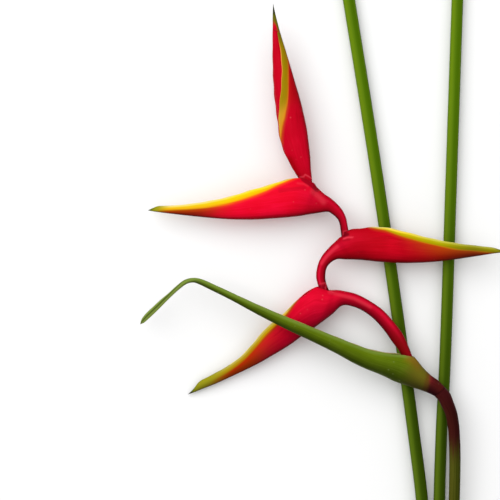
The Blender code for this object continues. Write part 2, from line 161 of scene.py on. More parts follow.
def blendColour(tree, share, first, second, mode="MIX"):
    item = addNode(tree, "ShaderNodeMix", {0: share}, data_type="RGBA", blend_type=mode)
    for socket, value in ((item.inputs[6], first), (item.inputs[7], second)):
        if isinstance(value, bpy.types.NodeSocket):
            tree.links.new(value, socket)
        else:
            socket.default_value = (*value, 1.0)
    return item.outputs[2]


def threeTones(tree, value, tones, low, middle, high):
    # The second tone comes in between low and middle, and the third between middle and high.
    body = blendColour(tree, spread(tree, value, low, middle), tones[0], tones[1])
    return blendColour(tree, spread(tree, value, middle, high), body, tones[2])


def layOn(tree, body, look, names):
    # Tones laid on one after another, each where the mark of its name says.
    for name in names:
        body = blendColour(tree, mark(tree, name), body, look[name])
    return body


def streaks(tree, source, scale, detail=3.0):
    # Noise stretched by a different scale along each axis of its coordinates.
    stretched = addNode(tree, "ShaderNodeMapping", {"Vector": source, "Scale": scale})
    sockets = {"Vector": stretched.outputs[0], "Scale": 1.0, "Detail": detail, "Roughness": 0.6}
    return addNode(tree, "ShaderNodeTexNoise", sockets).outputs["Fac"]


def clouds(tree, place, scale, detail=3.0):
    return streaks(tree, place, (scale, scale, scale), detail)


waxFinish = {
    "bump": 0.3,
    "depth": 0.05,
    "lines": (0.07, 2.6, 0.3),
    "pores": 900.0,
    "poreShare": 0.25,
    "roughness": (0.36, 0.5),
    "patches": (0.15, 1.1, 1.0),
    "patchSteps": (0.3, 0.7),
    "specular": 0.015,
}


def fineRelief(tree):
    lines = streaks(tree, mark(tree, "skin", "Vector"), waxFinish["lines"])
    pores = clouds(tree, objectPlace(tree), waxFinish["pores"], 1.0)
    return plus(tree, lines, times(tree, pores, waxFinish["poreShare"]))


def skinMaterial(name, colour, look):
    # One waxy skin: colour and relief come from nodes, the fixed values stay on the shader.
    finish = {**waxFinish, **look}
    material = bpy.data.materials.new(name)
    material.use_nodes = True
    tree = material.node_tree
    shader = tree.nodes["Principled BSDF"]
    tree.links.new(colour(tree, look), shader.inputs["Base Color"])
    sockets = {"Height": fineRelief(tree), "Strength": finish["bump"],
               "Distance": finish["depth"] * millimetre}
    tree.links.new(addNode(tree, "ShaderNodeBump", sockets).outputs[0], shader.inputs["Normal"])
    patchy = streaks(tree, mark(tree, "skin", "Vector"), finish["patches"])
    patchy = spread(tree, patchy, *finish["patchSteps"], *finish["roughness"])
    tree.links.new(patchy, shader.inputs["Roughness"])
    shader.inputs["Specular IOR Level"].default_value = finish["specular"]
    return material


# Colours of the skins: "steps" are the values between which a colour comes in, "rough" how much
# the grain shifts them, and "weave" the streaks and clouds of a skin's own tones.

redSkin = {
    "deep": (0.5, 0.0008, 0.012),
    "body": (0.7, 0.0014, 0.017),
    "bright": (0.78, 0.003, 0.03),
    # Painted sheen: fine pale streaks standing in for a waxy highlight.
    "fineStreaksAndSheen": (0.85, 0.012, 0.06),
    # Stem tones: painted shade on the keel side, painted highlight along the upper shoulder.
    "stem": (0.31, 0.0006, 0.009),
    "stemLight": (0.52, 0.004, 0.026),
    "stemShadedSide": (0.13, 0.0012, 0.004),
    # Painted shade deep in the throats.
    "throat": (0.12, 0.0005, 0.005),
    # Pale ridges along the joints, partly painted highlight along the lit tops of the stems.
    "ridge": (0.72, 0.045, 0.075),
    "blaze": (0.78, 0.035, 0.012),
    "orange": (0.8, 0.16, 0.004),
    "ember": (0.37, 0.04, 0.0015),
    "rust": (0.19, 0.013, 0.001),
    "tipOrange": (0.48, 0.19, 0.003),
    "gold": (0.74, 0.51, 0.001),
    "goldFar": (0.72, 0.5, 0.006),
    "goldRimAndHighlight": (1.14, 1.3, 30.0),
    "goldInner": (1.0, 0.72, 0.6),
    "olive": (0.28, 0.26, 0.008),
    "tipGreen": (0.1, 0.13, 0.005),
    "char": (0.01, 0.013, 0.004),
    "lip": (0.84, 0.7, 0.22),
    "inside": (0.5, 0.03, 0.01),
    "speck": (0.85, 0.2, 0.2),
    # Painted shade: these tints are multiplied in towards the keel.
    "shadeReach": 0.3,
    "shadeTint": (0.62, 0.5, 0.6),
    "keelReach": 0.13,
    "keelTint": (0.42, 0.3, 0.4),
    "weave": {"long": (0.045, 0.9, 0.3), "fine": (0.1, 3.0, 0.3), "cloud": 50.0, "detail": 2.0,
              "longShare": 0.5, "fineShare": 0.3},
    "rough": {"rise": 0.4, "warm": 0.4, "gold": 1.1, "olive": 0.35},
    "steps": {"stemShade": (0.05, 0.5), "stemGlow": (0.5, 0.74), "stemFade": (0.98, 0.8),
              "warm": (0.1, 0.95), "rust": (0.7, 0.15), "gold": (0.35, -0.35),
              "goldInner": (-1.8, 0.0), "goldRimAndHighlight": (1.2, 0.3), "olive": (0.1, 0.6, 1.1)},
    "borders": [(2.3, 0.5, "blaze", "ember"), (0.9, 0.1, "orange", "tipOrange")],
}
speckMarks = {
    "scale": 330.0,
    "size": (0.2, 0.07),
    "patches": 95.0,
    "rare": (0.58, 0.64),
    "share": 0.15,
}
toneSteps = (0.3, 0.48, 0.66)
fineSteps = (0.56, 0.8)


def wovenTones(tree, look):
    # The skin's own tones: long soft streaks mixed with clouds, and fine streaks over them, on the
    # red skins a paler painted sheen.
    skin, place = mark(tree, "skin", "Vector"), objectPlace(tree)
    weave = look["weave"]
    long = streaks(tree, skin, weave["long"], 4.0)
    fine = streaks(tree, skin, weave["fine"], 2.0)
    cloud = clouds(tree, place, weave["cloud"], weave["detail"])
    grain = centred(tree, long)
    share = weave["longShare"]
    mixed = plus(tree, times(tree, long, share), times(tree, cloud, 1 - share))
    body = threeTones(tree, mixed, (look["deep"], look["body"], look["bright"]), *toneSteps)
    fineStreaksAndSheen = spread(tree, fine, *fineSteps, 0.0, weave["fineShare"])
    return place, grain, blendColour(tree, fineStreaksAndSheen, body, look["fineStreaksAndSheen"])


def roughMark(tree, name, grain, look):
    return roughened(tree, mark(tree, name), grain, look["rough"][name])


def specks(tree, place, colour, speck):
    # A few small pale marks, far apart.
    spots = addNode(tree, "ShaderNodeTexVoronoi", {"Vector": place, "Scale": speckMarks["scale"]})
    rare = clouds(tree, place, speckMarks["patches"], 1.0)
    shape = times(tree, spread(tree, spots.outputs["Distance"], *speckMarks["size"]),
                  spread(tree, rare, *speckMarks["rare"]))
    return blendColour(tree, times(tree, shape, speckMarks["share"]), colour, speck)


def paintedUndersideShade(tree, look, colour, rise):
    # Painted shade towards the keel, in one broad and one narrow step; where a tint is above one,
    # the narrow step paints light instead.
    for step in ("shade", "keel"):
        share = spread(tree, rise, look[step + "Reach"], 0.0)
        colour = blendColour(tree, share, colour, look[step + "Tint"], "MULTIPLY")
    return colour


def redColour(tree, look):
    place, grain, body = wovenTones(tree, look)
    plain = specks(tree, place, body, look["speck"])
    steps = look["steps"]
    # Painted light: a length of stem gets a painted highlight along its upper shoulder and painted
    # shade towards the keel.
    rise = mark(tree, "rise")
    level = roughened(tree, rise, grain, look["rough"]["rise"])
    shade = spread(tree, level, *steps["stemShade"])
    stalk = blendColour(tree, shade, look["stemShadedSide"], look["stem"])
    glow = spread(tree, level, *steps["stemGlow"])
    shoulder = times(tree, glow, spread(tree, level, *steps["stemFade"]))
    stalk = blendColour(tree, shoulder, stalk, look["stemLight"])
    body = blendColour(tree, mark(tree, "stem"), plain, stalk)
    # Towards the tip the red turns to ember and rust.
    warm = spread(tree, roughMark(tree, "warm", grain, look), *steps["warm"])
    ember = blendColour(tree, spread(tree, rise, *steps["rust"]), look["ember"], look["rust"])
    body = blendColour(tree, warm, body, ember)
    # The golden margin has an orange border that runs into the red in streaks.
    gold = roughMark(tree, "gold", grain, look)
    for start, end, near, far in look["borders"]:
        border = blendColour(tree, warm, look[near], look[far])
        body = blendColour(tree, spread(tree, gold, start, end), body, border)
    margin = blendColour(tree, warm, look["gold"], look["goldFar"])
    inner = spread(tree, gold, *steps["goldInner"])
    margin = blendColour(tree, inner, margin, look["goldInner"], "MULTIPLY")
    # The rim of the gold margin is paler, partly painted highlight where the curved rim turns from
    # the light.
    edge = spread(tree, mark(tree, "depth"), *steps["goldRimAndHighlight"])
    margin = blendColour(tree, edge, margin, look["goldRimAndHighlight"], "MULTIPLY")
    body = blendColour(tree, spread(tree, gold, *steps["gold"]), body, margin)
    olive = roughMark(tree, "olive", grain, look)
    body = threeTones(tree, olive, (body, look["olive"], look["tipGreen"]), *steps["olive"])
    body = blendColour(tree, mark(tree, "over"), body, plain)
    body = paintedUndersideShade(tree, look, body, rise)
    return layOn(tree, body, look, ("inside", "throat", "ridge", "lip", "char"))


greenSkin = {
    "deep": (0.046, 0.08, 0.0018),
    "body": (0.09, 0.14, 0.002),
    "bright": (0.13, 0.195, 0.008),
    "fineStreaksAndSheen": (0.046, 0.08, 0.0018),
    # Painted highlight along the upper rim.
    "edge": (0.2, 0.29, 0.05),
    "tip": (0.18, 0.24, 0.045),
    "inside": (0.26, 0.33, 0.05),
    "blush": (0.125, 0.11, 0.007),
    "brown": (0.11, 0.055, 0.006),
    "maroon": (0.06, 0.006, 0.005),
    "rosy": (0.2, 0.013, 0.018),
    "throat": (0.26, 0.08, 0.007),
    "lip": (0.42, 0.36, 0.12),
    "speck": (0.34, 0.4, 0.16),
    "char": (0.2, 0.17, 0.09),
    # Painted shade towards the keel, and painted light along the keel edge itself.
    "shadeReach": 0.85,
    "shadeTint": (0.26, 0.26, 0.6),
    "keelReach": 0.1,
    "keelTint": (2.1, 1.9, 4.0),
    "weave": {"long": (0.035, 1.2, 0.3), "fine": (0.08, 4.0, 0.3), "cloud": 60.0, "detail": 3.0,
              "longShare": 0.6, "fineShare": 0.35},
    "rough": {"depth": 1.5, "warm": 0.3},
    "steps": {"edge": (2.2, 0.2, 0.0, 0.6), "blush": (0.05, 0.35, 0.62), "maroon": (0.62, 0.92),
              "rosyRise": (0.4, 0.95), "rosyBlush": (1.02, 0.75)},
    "roughness": (0.38, 0.52),
}


def greenColour(tree, look):
    place, grain, body = wovenTones(tree, look)
    steps = look["steps"]
    # A paler margin, painted highlight along the lit upper rim, a paler tip, and a base that
    # blushes brown and maroon.
    depth = roughMark(tree, "depth", grain, look)
    rise = mark(tree, "rise")
    body = blendColour(tree, spread(tree, depth, *steps["edge"]), body, look["edge"])
    body = blendColour(tree, mark(tree, "olive"), body, look["tip"])
    blush = roughMark(tree, "warm", grain, look)
    body = threeTones(tree, blush, (body, look["blush"], look["brown"]), *steps["blush"])
    high = spread(tree, rise, *steps["rosyRise"])
    rosy = times(tree, high, spread(tree, blush, *steps["rosyBlush"]))
    maroon = blendColour(tree, rosy, look["maroon"], look["rosy"])
    body = blendColour(tree, spread(tree, blush, *steps["maroon"]), body, maroon)
    body = paintedUndersideShade(tree, look, body, rise)
    body = layOn(tree, body, look, ("throat", "inside", "lip"))
    return layOn(tree, specks(tree, place, body, look["speck"]), look, ("char",))


# From points and faces to a finished piece

sharpAngle = 55.0


def newShell():
    return {"points": [], "faces": [], "marks": {}}


def keepPoint(shell, point, **marks):
    # Adds a point with a value for each of its skin marks, and gives its number.
    shell["points"].append(point)
    for name, value in marks.items():
        shell["marks"].setdefault(name, []).append(value)
    return len(shell["points"]) - 1


def joinRings(shell, here, there):
    for index in range(len(here)):
        after = (index + 1) % len(here)
        shell["faces"].append((here[index], here[after], there[after], there[index]))


def closeRing(shell, ring, centre):
    for index in range(len(ring)):
        shell["faces"].append((ring[index], ring[(index + 1) % len(ring)], centre))


def writeMesh(name, shell):
    mesh = bpy.data.meshes.new(name)
    mesh.from_pydata([point * millimetre for point in shell["points"]], [], shell["faces"])
    turned = bmesh.new()
    turned.from_mesh(mesh)
    bmesh.ops.recalc_face_normals(turned, faces=turned.faces)
    turned.to_mesh(mesh)
    turned.free()
    for markName, values in shell["marks"].items():
        if isinstance(values[0], tuple):
            layer = mesh.attributes.new(markName, "FLOAT_VECTOR", "POINT")
            layer.data.foreach_set("vector", [part for value in values for part in value])
        else:
            layer = mesh.attributes.new(markName, "FLOAT", "POINT")
            layer.data.foreach_set("value", values)
    mesh.shade_smooth()
    mesh.set_sharp_from_angle(angle=math.radians(sharpAngle))
    item = bpy.data.objects.new(name, mesh)
    bpy.context.scene.collection.objects.link(item)
    return item


# Raised lengthwise veins, made by one tree for every skin.

def makeVeinTree():
    tree = bpy.data.node_groups.new("lengthwiseVeins", "GeometryNodeTree")
    sockets = {}
    for name, kind in (("Skin", "NodeSocketGeometry"), ("Veins", "NodeSocketFloat"),
                       ("Height", "NodeSocketFloat"), ("Finish", "NodeSocketMaterial")):
        sockets[name] = tree.interface.new_socket(name, in_out="INPUT", socket_type=kind).identifier
    tree.interface.new_socket("Skin", in_out="OUTPUT", socket_type="NodeSocketGeometry")
    start = tree.nodes.new("NodeGroupInput").outputs
    share, relief = (addNode(tree, "GeometryNodeInputNamedAttribute", {"Name": name}).outputs[0]
                     for name in ("share", "relief"))
    turns = times(tree, times(tree, share, start["Veins"]), math.tau)
    wave = times(tree, math2(tree, "COSINE", turns), relief)
    rise = times(tree, wave, start["Height"])
    normal = tree.nodes.new("GeometryNodeInputNormal").outputs[0]
    offset = addNode(tree, "ShaderNodeVectorMath", {0: normal, "Scale": rise}, operation="SCALE")
    moved = addNode(tree, "GeometryNodeSetPosition", {"Geometry": start["Skin"],
                                                      "Offset": offset.outputs[0]})
    whole = addNode(tree, "GeometryNodeRealizeInstances", {"Geometry": moved.outputs[0]})
    dressed = addNode(tree, "GeometryNodeSetMaterial", {"Geometry": whole.outputs[0],
                                                        "Material": start["Finish"]})
    end = tree.nodes.new("NodeGroupOutput")
    tree.links.new(dressed.outputs[0], end.inputs[0])
    return tree, sockets


def addVeins(item, veins, height, material):
    modifier = item.modifiers.new("veins", "NODES")
    modifier.node_group = veinTree
    modifier[veinSockets["Veins"]] = float(veins)
    modifier[veinSockets["Height"]] = height * millimetre
    modifier[veinSockets["Finish"]] = material
    plain = item.data
    depsgraph = bpy.context.evaluated_depsgraph_get()
    evaluated = item.evaluated_get(depsgraph)
    mesh = bpy.data.meshes.new_from_object(evaluated, preserve_all_data_layers=True,
                                           depsgraph=depsgraph)
    item.modifiers.remove(modifier)
    item.data = mesh
    bpy.data.meshes.remove(plain)
    mesh.name = item.name


def settle(item, node):
    # Hands a finished piece over to the frame.
    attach(item, "root")
    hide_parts(node)
    print("made", item.name, len(item.data.polygons), "faces")


def finishPiece(shell, piece, relief, material):
    item = writeMesh(piece["name"], shell)
    addVeins(item, relief["veins"], relief["veinHeight"], material)
    settle(item, piece["node"])


# Bracts: each grows as one skin with the stem length below it.
# "rim" and "keel" are the side edges, and the other lists give values by edge point: "lift" the
# middle height, "half" the half thickness, "gap" the half opening of the margins, "near" and "far"
# how high the margins reach, "turn" the twist in degrees, "gold" the width of the golden margin,
# "lipShow" how well its lip shows, and the rest how far each colour has come.
# The hollow runs from "floor" to "pinch", and "fold" is how deep the closed tip is creased there.
# "slant" is how far the tip colours run on along the margin, "seam" where a margin runs on over
# the closed tip, and "tints" are what differs from the shared red.
# "lines" are soft marks near the joints, painted shade in the throats, painted stem tones and pale
# ridges with painted highlights: strength, half width in full and faded out, and course.

bractGrid = {
    "wall": 0.7,
    "leastHollow": 0.25,
    "columns": 48,
    "rowsPerPoint": 9,
    "lipPoints": 3,
    "streakWidth": 20.0,
    "veins": 12,
    "veinHeight": 0.018,
    "fullRelief": 14.0,
    "ripple": 0.12,
    "rippleLength": 11.0,
    "rippleDrift": 0.7,
    "rippleFocus": 6,
    "fullRipple": 6.0,
    "throatBlur": 0.3,
    "lipBand": (-1.5, 0.5),
    "lineReach": 4,
    "closedRise": 0.3,
    "noBand": -9.0,
}
plainBract = {
    "slot": "bract_red",
    "turn": [(0, 0.0)],
    "fold": 0.85,
    "twoBands": True,
    "throatFrom": -1.0,
    "lipShow": [(0, 1.0)],
    "lines": {},
}

greenBract = {
    **plainBract,
    "name": "greenBract",
    "node": "bract_green",
    "slot": "bract_green",
    "rim": [(-0.8, 361.7), (-3.9, 364.7), (-7.8, 367.6), (-11.4, 371.4), (-15.9, 377.3),
            (-19.8, 378.3), (-24.5, 378.7), (-30.0, 379.2), (-36.0, 380.2), (-43.0, 382.3),
            (-53.0, 386.2), (-65.3, 391.1), (-78.0, 396.2), (-92.0, 402.1), (-105.5, 408.2),
            (-117.0, 413.5), (-123.0, 415.9), (-126.8, 415.9), (-130.6, 414.7), (-134.3, 412.0),
            (-138.4, 408.3), (-142.1, 405.4), (-146.1, 401.8), (-149.9, 398.2), (-152.0, 395.5),
            (-152.9, 392.9)],
    "keel": [(-5.75, 357.0), (-9.0, 358.6), (-13.5, 360.3), (-19.0, 362.1), (-26.0, 364.5),
             (-30.2, 366.6), (-33.8, 368.2), (-36.5, 369.3), (-40.5, 370.9), (-46.8, 373.9),
             (-56.2, 379.1), (-68.5, 385.2), (-80.5, 390.9), (-94.2, 397.9), (-107.2, 405.0),
             (-118.2, 410.5), (-123.9, 413.2), (-126.8, 414.0), (-129.75, 413.4), (-133.4, 410.7),
             (-137.3, 407.1), (-140.5, 403.8), (-144.3, 399.9), (-148.2, 396.2), (-150.8, 393.9),
             (-152.9, 392.9)],
    "lift": [(0, 13.2), (2, 14.1), (4, 15.3), (7, 16.6), (9, 17.8), (11, 19.7), (13, 20.5),
             (15, 20.2), (17, 19.0), (20, 17.0), (25, 12.8)],
    "half": [(0, 3.4), (2, 4.2), (4, 6.2), (5, 6.2), (7, 5.0), (9, 4.0), (11, 3.1), (13, 2.5),
             (15, 1.8), (17, 1.2), (19, 0.8), (22, 0.9), (24, 0.8), (25, 0.3)],
    "gap": [(0, 0.0), (3, 0.0), (4, 1.0), (6, 1.2), (9, 0.5), (14, 0.3), (15, 0.0), (25, 0.0)],
    "near": [(0, 0.93), (5, 0.93), (7, 0.95), (10, 0.97), (14, 0.97), (25, 0.97)],
    "far": [(0, 0.93), (5, 0.95), (8, 0.98), (14, 0.98), (25, 0.97)],
    "turn": [(0, 0.0), (16, 0.0), (19, 50.0), (22, 80.0), (25, 80.0)],
    "fold": 0.55,
    "floor": 4,
    "pinch": 14,
    "gold": [(0, 9.0), (25, 9.0)],
    "warm": [(0, 1.0), (0.7, 0.92), (1.2, 0.68), (1.7, 0.42), (2.6, 0.3), (3.6, 0.12), (4.4, 0.0)],
    "slant": -1.0,
    "olive": [(0, 0.0), (14, 0.0), (19, 0.7), (25, 0.9)],
    "char": [(0, 0.0), (24.2, 0.0), (25, 0.8)],
    "stem": [(0, 0.0), (25, 0.0)],
    "throat": [(0, 0.0), (2.8, 0.0), (3.6, 0.4), (4.3, 0.5), (5.2, 0.0)],
    "throatFrom": 0.95,
}
lowerBract = {
    **plainBract,
    "name": "lowerBract",
    "node": "bract_red_lower",
    "rim": [(-16.9, 376.55), (-18.7, 381.5), (-21.9, 388.4), (-26.1, 393.9), (-31.5, 399.9),
            (-38.0, 404.5), (-44.8, 408.0), (-51.5, 409.6), (-55.2, 410.2), (-57.9, 410.7),
            (-63.5, 412.8), (-68.4, 410.2), (-73.4, 406.2), (-78.6, 401.0), (-83.8, 396.3),
            (-90.2, 390.8), (-97.0, 382.8), (-102.0, 377.2), (-108.5, 372.1), (-116.5, 367.5),
            (-123.2, 363.9), (-126.8, 359.6), (-129.5, 356.9)],
    "keel": [(-20.3, 372.4), (-23.2, 379.0), (-26.8, 383.9), (-31.2, 390.1), (-36.2, 395.6),
             (-41.7, 399.6), (-47.0, 401.8), (-51.9, 402.1), (-57.0, 397.7), (-64.0, 392.4),
             (-68.0, 389.5), (-70.0, 388.2), (-72.5, 386.5), (-76.2, 383.6), (-80.5, 380.7),
             (-86.0, 377.4), (-92.8, 373.4), (-98.8, 370.3), (-105.9, 366.9), (-114.5, 362.9),
             (-122.2, 359.8), (-126.0, 358.2), (-129.5, 356.9)],
    "lift": [(0, 15.3), (3, 13.9), (6, 12.2), (9, 11.0), (10, 10.6), (12, 9.6), (15, 7.0),
             (18, 4.2), (20, 2.8), (22, 1.2)],
    "half": [(0, 2.2), (3, 2.5), (6, 2.7), (8, 4.0), (9, 5.2), (10, 5.3), (13, 4.9), (16, 3.4),
             (18, 2.0), (20, 1.5), (21, 0.9), (22, 0.3)],
    "gap": [(0, 0.0), (8, 0.0), (9, 0.8), (11, 0.8), (14, 0.5), (18, 0.3), (19, 0.0), (22, 0.0)],
    "near": [(0, 0.93), (10, 0.93), (12, 0.95), (18, 0.96), (22, 0.97)],
    "far": [(0, 0.93), (10, 0.95), (12, 0.98), (22, 0.98)],
    "floor": 9,
    "pinch": 18,
    "gold": [(0, -9.0), (11.0, -9.0), (11.8, -2.0), (12.6, -0.4), (13.4, 0.9), (14.2, 1.5),
             (15.0, 2.1), (16.0, 1.9), (17.2, 1.9), (18.6, 2.3), (22.0, 2.6)],
    "warm": [(0, 0.0), (12.8, 0.0), (14.2, 0.15), (15.4, 0.36), (16.8, 0.78), (18.2, 1.0),
             (22, 1.0)],
    "slant": 1.0,
    "olive": [(0, 0.0), (17.5, 0.0), (19.0, 0.25), (20.3, 0.6), (21.3, 0.8), (22, 1.1)],
    "char": [(0, 0.0), (20.9, 0.0), (21.5, 0.85), (22, 1.0)],
    "stem": [(0, 0.9), (5, 0.7), (8, 0.3), (11, 0.0), (22, 0.0)],
    "throat": [(0, 0.85), (1.4, 0.8), (2.2, 0.5), (3.4, 0.0), (22, 0.0)],
    "lines": {
        "throat": [(0.5, 0.4, 1.6, [(-63.2, 411.6), (-60.8, 411.0)])],
        "ridge": [(0.6, 0.1, 0.6, [(-62.9, 412.8), (-61.3, 412.3), (-60.2, 410.8), (-58.4, 409.6),
                                   (-56.4, 408.8)]),
                  (0.3, 0.2, 1.4, [(-58.4, 409.0), (-50.9, 407.0), (-46.0, 405.7),
                                   (-38.0, 401.6)])],
    },
    "tints": {
        "deep": (0.46, 0.0006, 0.012),
        "body": (0.6, 0.0009, 0.018),
        "bright": (0.71, 0.0025, 0.027),
        "gold": (0.64, 0.45, 0.004),
        "goldFar": (0.38, 0.28, 0.003),
        "goldRimAndHighlight": (1.1, 1.25, 20.0),
        "orange": (0.45, 0.12, 0.003),
        "blaze": (0.42, 0.028, 0.003),
        "tipOrange": (0.34, 0.14, 0.002),
        "ember": (0.42, 0.025, 0.0012),
        "rust": (0.36, 0.034, 0.001),
        "stemShadedSide": (0.19, 0.0008, 0.005),
        "throat": (0.165, 0.0018, 0.0016),
        "shadeReach": 0.85,
        "shadeTint": (0.45, 0.45, 0.6),
    },
}
rightBract = {
    **plainBract,
    "name": "rightBract",
    "node": "bract_red_right",
    "rim": [(-61.0, 403.2), (-64.1, 412.8), (-64.9, 417.8), (-63.8, 423.4), (-61.6, 427.6),
            (-58.3, 431.4), (-55.5, 434.3), (-53.3, 436.8), (-49.0, 440.6), (-42.0, 441.5),
            (-35.3, 441.9), (-29.0, 441.5), (-19.6, 439.3), (-7.4, 436.1), (4.7, 433.7),
            (14.5, 432.4), (22.9, 431.4), (27.0, 430.3), (33.0, 429.2)],
    "keel": [(-58.6, 410.1), (-59.9, 413.8), (-60.3, 417.0), (-59.6, 421.0), (-57.4, 423.8),
             (-54.3, 425.4), (-50.0, 425.3), (-45.5, 425.2), (-40.5, 424.9), (-35.5, 424.3),
             (-30.2, 423.9), (-25.0, 423.6), (-17.5, 423.5), (-6.8, 424.0), (4.5, 425.3),
             (14.5, 426.8), (22.9, 428.1), (27.0, 428.6), (33.0, 429.2)],
    "lift": [(0, 11.0), (3, 11.8), (6, 13.0), (9, 13.7), (12, 13.7), (15, 13.0), (18, 12.0)],
    "half": [(0, 2.1), (4, 2.1), (6, 2.8), (7, 4.2), (8, 5.0), (10, 5.3), (12, 5.0), (13, 4.3),
             (14, 3.3), (15, 2.3), (16, 1.5), (17, 0.9), (18, 0.25)],
    "gap": [(0, 0.0), (6, 0.0), (7, 0.8), (9, 0.9), (12, 0.5), (15, 0.3), (16, 0.0), (18, 0.0)],
    "near": [(0, 0.93), (8, 0.93), (10, 0.95), (15, 0.96), (18, 0.97)],
    "far": [(0, 0.93), (8, 0.95), (10, 0.98), (18, 0.98)],
    "floor": 7,
    "pinch": 15,
    "gold": [(0, -9.0), (8.9, -9.0), (9.3, -2.0), (9.8, -0.2), (10.6, 0.9), (11.5, 2.3),
             (12.0, 2.6), (13.0, 2.6), (14.0, 2.7), (15.0, 2.4), (18.0, 2.3)],
    "warm": [(0, 0.0), (11.0, 0.0), (12.5, 0.3), (14.0, 0.8), (15.5, 1.0), (18, 1.0)],
    "slant": 0.8,
    "olive": [(0, 0.0), (15.5, 0.0), (17.0, 0.35), (18, 1.0)],
    "char": [(0, 0.0), (13.2, 0.0), (14.2, 0.3), (15.0, 0.42), (15.9, 0.3), (17.3, 0.4),
             (17.9, 1.0)],
    "stem": [(0, 0.9), (5, 0.7), (8, 0.25), (10, 0.0), (18, 0.0)],
    "throat": [(0, 0.6), (0.6, 0.0), (18, 0.0)],
    "lines": {
        "stem": [(1.0, 0.8, 2.6, [(-52.6, 438.6), (-51.6, 437.0)])],
        "throat": [(0.8, 0.5, 1.5, [(-50.8, 437.4), (-49.6, 437.8)]),
                   (0.3, 0.2, 0.8, [(-51.6, 434.8), (-48.6, 435.2)]),
                   (0.6, 0.6, 1.4, [(-63.0, 411.9), (-61.2, 411.2)])],
        "ridge": [(0.5, 0.1, 0.6, [(-51.6, 439.4), (-49.0, 440.1)]),
                  (0.7, 0.15, 0.6, [(-51.4, 435.6), (-49.4, 436.3), (-47.0, 436.3)]),
                  (0.3, 0.2, 1.5, [(-62.2, 423.4), (-60.2, 426.2), (-57.8, 428.8), (-54.6, 431.8)]),
                  (0.5, 0.1, 0.5, [(-64.2, 412.4), (-62.5, 412.9), (-60.4, 413.6), (-59.8, 412.2),
                                   (-60.4, 410.6)])],
    },
    "tints": {
        "deep": (0.32, 0.0006, 0.006),
        "body": (0.43, 0.0008, 0.007),
        "bright": (0.55, 0.0015, 0.012),
        "fineStreaksAndSheen": (0.7, 0.02, 0.05),
        "blaze": (0.45, 0.03, 0.004),
        "orange": (0.5, 0.13, 0.004),
        "ember": (0.38, 0.045, 0.002),
        "rust": (0.24, 0.012, 0.001),
        "stemLight": (0.58, 0.005, 0.032),
        "gold": (0.61, 0.43, 0.001),
        "goldFar": (0.38, 0.34, 0.001),
        "goldRimAndHighlight": (1.5, 1.6, 60.0),
        "goldInner": (0.66, 0.66, 0.6),
        "shadeReach": 0.4,
    },
}
leftBract = {
    **plainBract,
    "name": "leftBract",
    "node": "bract_red_left",
    "rim": [(-48.3, 430.1), (-48.6, 438.0), (-49.3, 442.8), (-50.2, 446.7), (-51.9, 450.0),
            (-54.3, 452.9), (-57.5, 455.8), (-61.2, 458.3), (-64.3, 461.5), (-66.2, 464.5),
            (-71.5, 467.1), (-77.5, 466.4), (-83.4, 464.7), (-90.4, 462.4), (-97.5, 460.4),
            (-108.0, 457.1), (-118.0, 454.9), (-128.0, 453.3), (-137.0, 452.4), (-143.5, 452.2),
            (-146.8, 451.1), (-149.3, 449.9)],
    "keel": [(-51.9, 435.3), (-52.4, 437.5), (-53.1, 442.5), (-53.9, 444.9), (-55.3, 446.6),
             (-57.2, 448.1), (-59.2, 449.1), (-63.5, 448.6), (-68.5, 447.8), (-73.2, 447.0),
             (-77.5, 446.5), (-82.0, 446.1), (-86.2, 445.8), (-92.0, 445.4), (-98.8, 445.2),
             (-108.5, 445.4), (-118.0, 446.1), (-127.8, 447.1), (-136.8, 448.1),
             (-143.3, 448.9), (-146.7, 449.4), (-149.3, 449.9)],
    "lift": [(0, 13.2), (9, 13.6), (12, 13.3), (15, 12.2), (18, 9.8), (21, 8.2)],
    "half": [(0, 1.9), (5, 1.9), (7, 3.0), (9, 5.2), (11, 5.6), (13, 5.0), (15, 4.0), (17, 2.6),
             (18, 1.9), (19, 1.5), (20, 0.8), (21, 0.25)],
    "gap": [(0, 0.0), (8, 0.0), (9, 1.0), (10, 1.3), (11, 1.2), (14, 0.5), (18, 0.3), (19, 0.0),
            (21, 0.0)],
    "near": [(0, 0.93), (10, 0.93), (12, 0.95), (18, 0.96), (21, 0.97)],
    "far": [(0, 0.93), (10, 0.95), (12, 0.98), (21, 0.98)],
    "floor": 9,
    "pinch": 18,
    "gold": [(0, -9.0), (9.7, -9.0), (10.2, -2.0), (11.0, -0.1), (12.0, 1.1), (13.0, 2.3),
             (14.0, 3.0), (15.0, 3.1), (16.0, 2.9), (17.0, 2.4), (18.0, 2.0), (21.0, 2.2)],
    "warm": [(0, 0.0), (14.0, 0.0), (15.5, 0.3), (17.0, 0.75), (18.5, 1.0), (21, 1.0)],
    "slant": 0.8,
    "olive": [(0, 0.0), (18.0, 0.0), (19.2, 0.35), (21, 1.1)],
    "char": [(0, 0.0), (20.2, 0.0), (20.9, 1.0)],
    "stem": [(0, 1.0), (6, 0.8), (9, 0.35), (11, 0.0), (21, 0.0)],
    "throat": [(0, 0.6), (0.6, 0.0), (21, 0.0)],
    "lines": {
        "throat": [(0.62, 1.0, 1.6, [(-71.5, 465.4), (-69.3, 463.9), (-67.2, 462.4),
                                     (-64.7, 460.2)]),
                   (0.22, 0.4, 1.4, [(-83.0, 459.6), (-76.0, 460.4), (-71.0, 460.9)]),
                   (0.65, 0.5, 1.2, [(-50.9, 438.5), (-49.6, 438.4)])],
        "ridge": [(0.25, 0.1, 0.8, [(-74.4, 463.2), (-71.4, 462.9), (-69.2, 461.8)]),
                  (0.34, 0.2, 2.4, [(-66.6, 459.0), (-63.6, 456.6), (-61.4, 454.0)]),
                  (0.4, 0.1, 0.45, [(-51.6, 437.2), (-51.4, 439.4), (-49.2, 439.7)])],
    },
    "tints": {"shadeReach": 0.25, "stemLight": (0.43, 0.002, 0.018)},
}
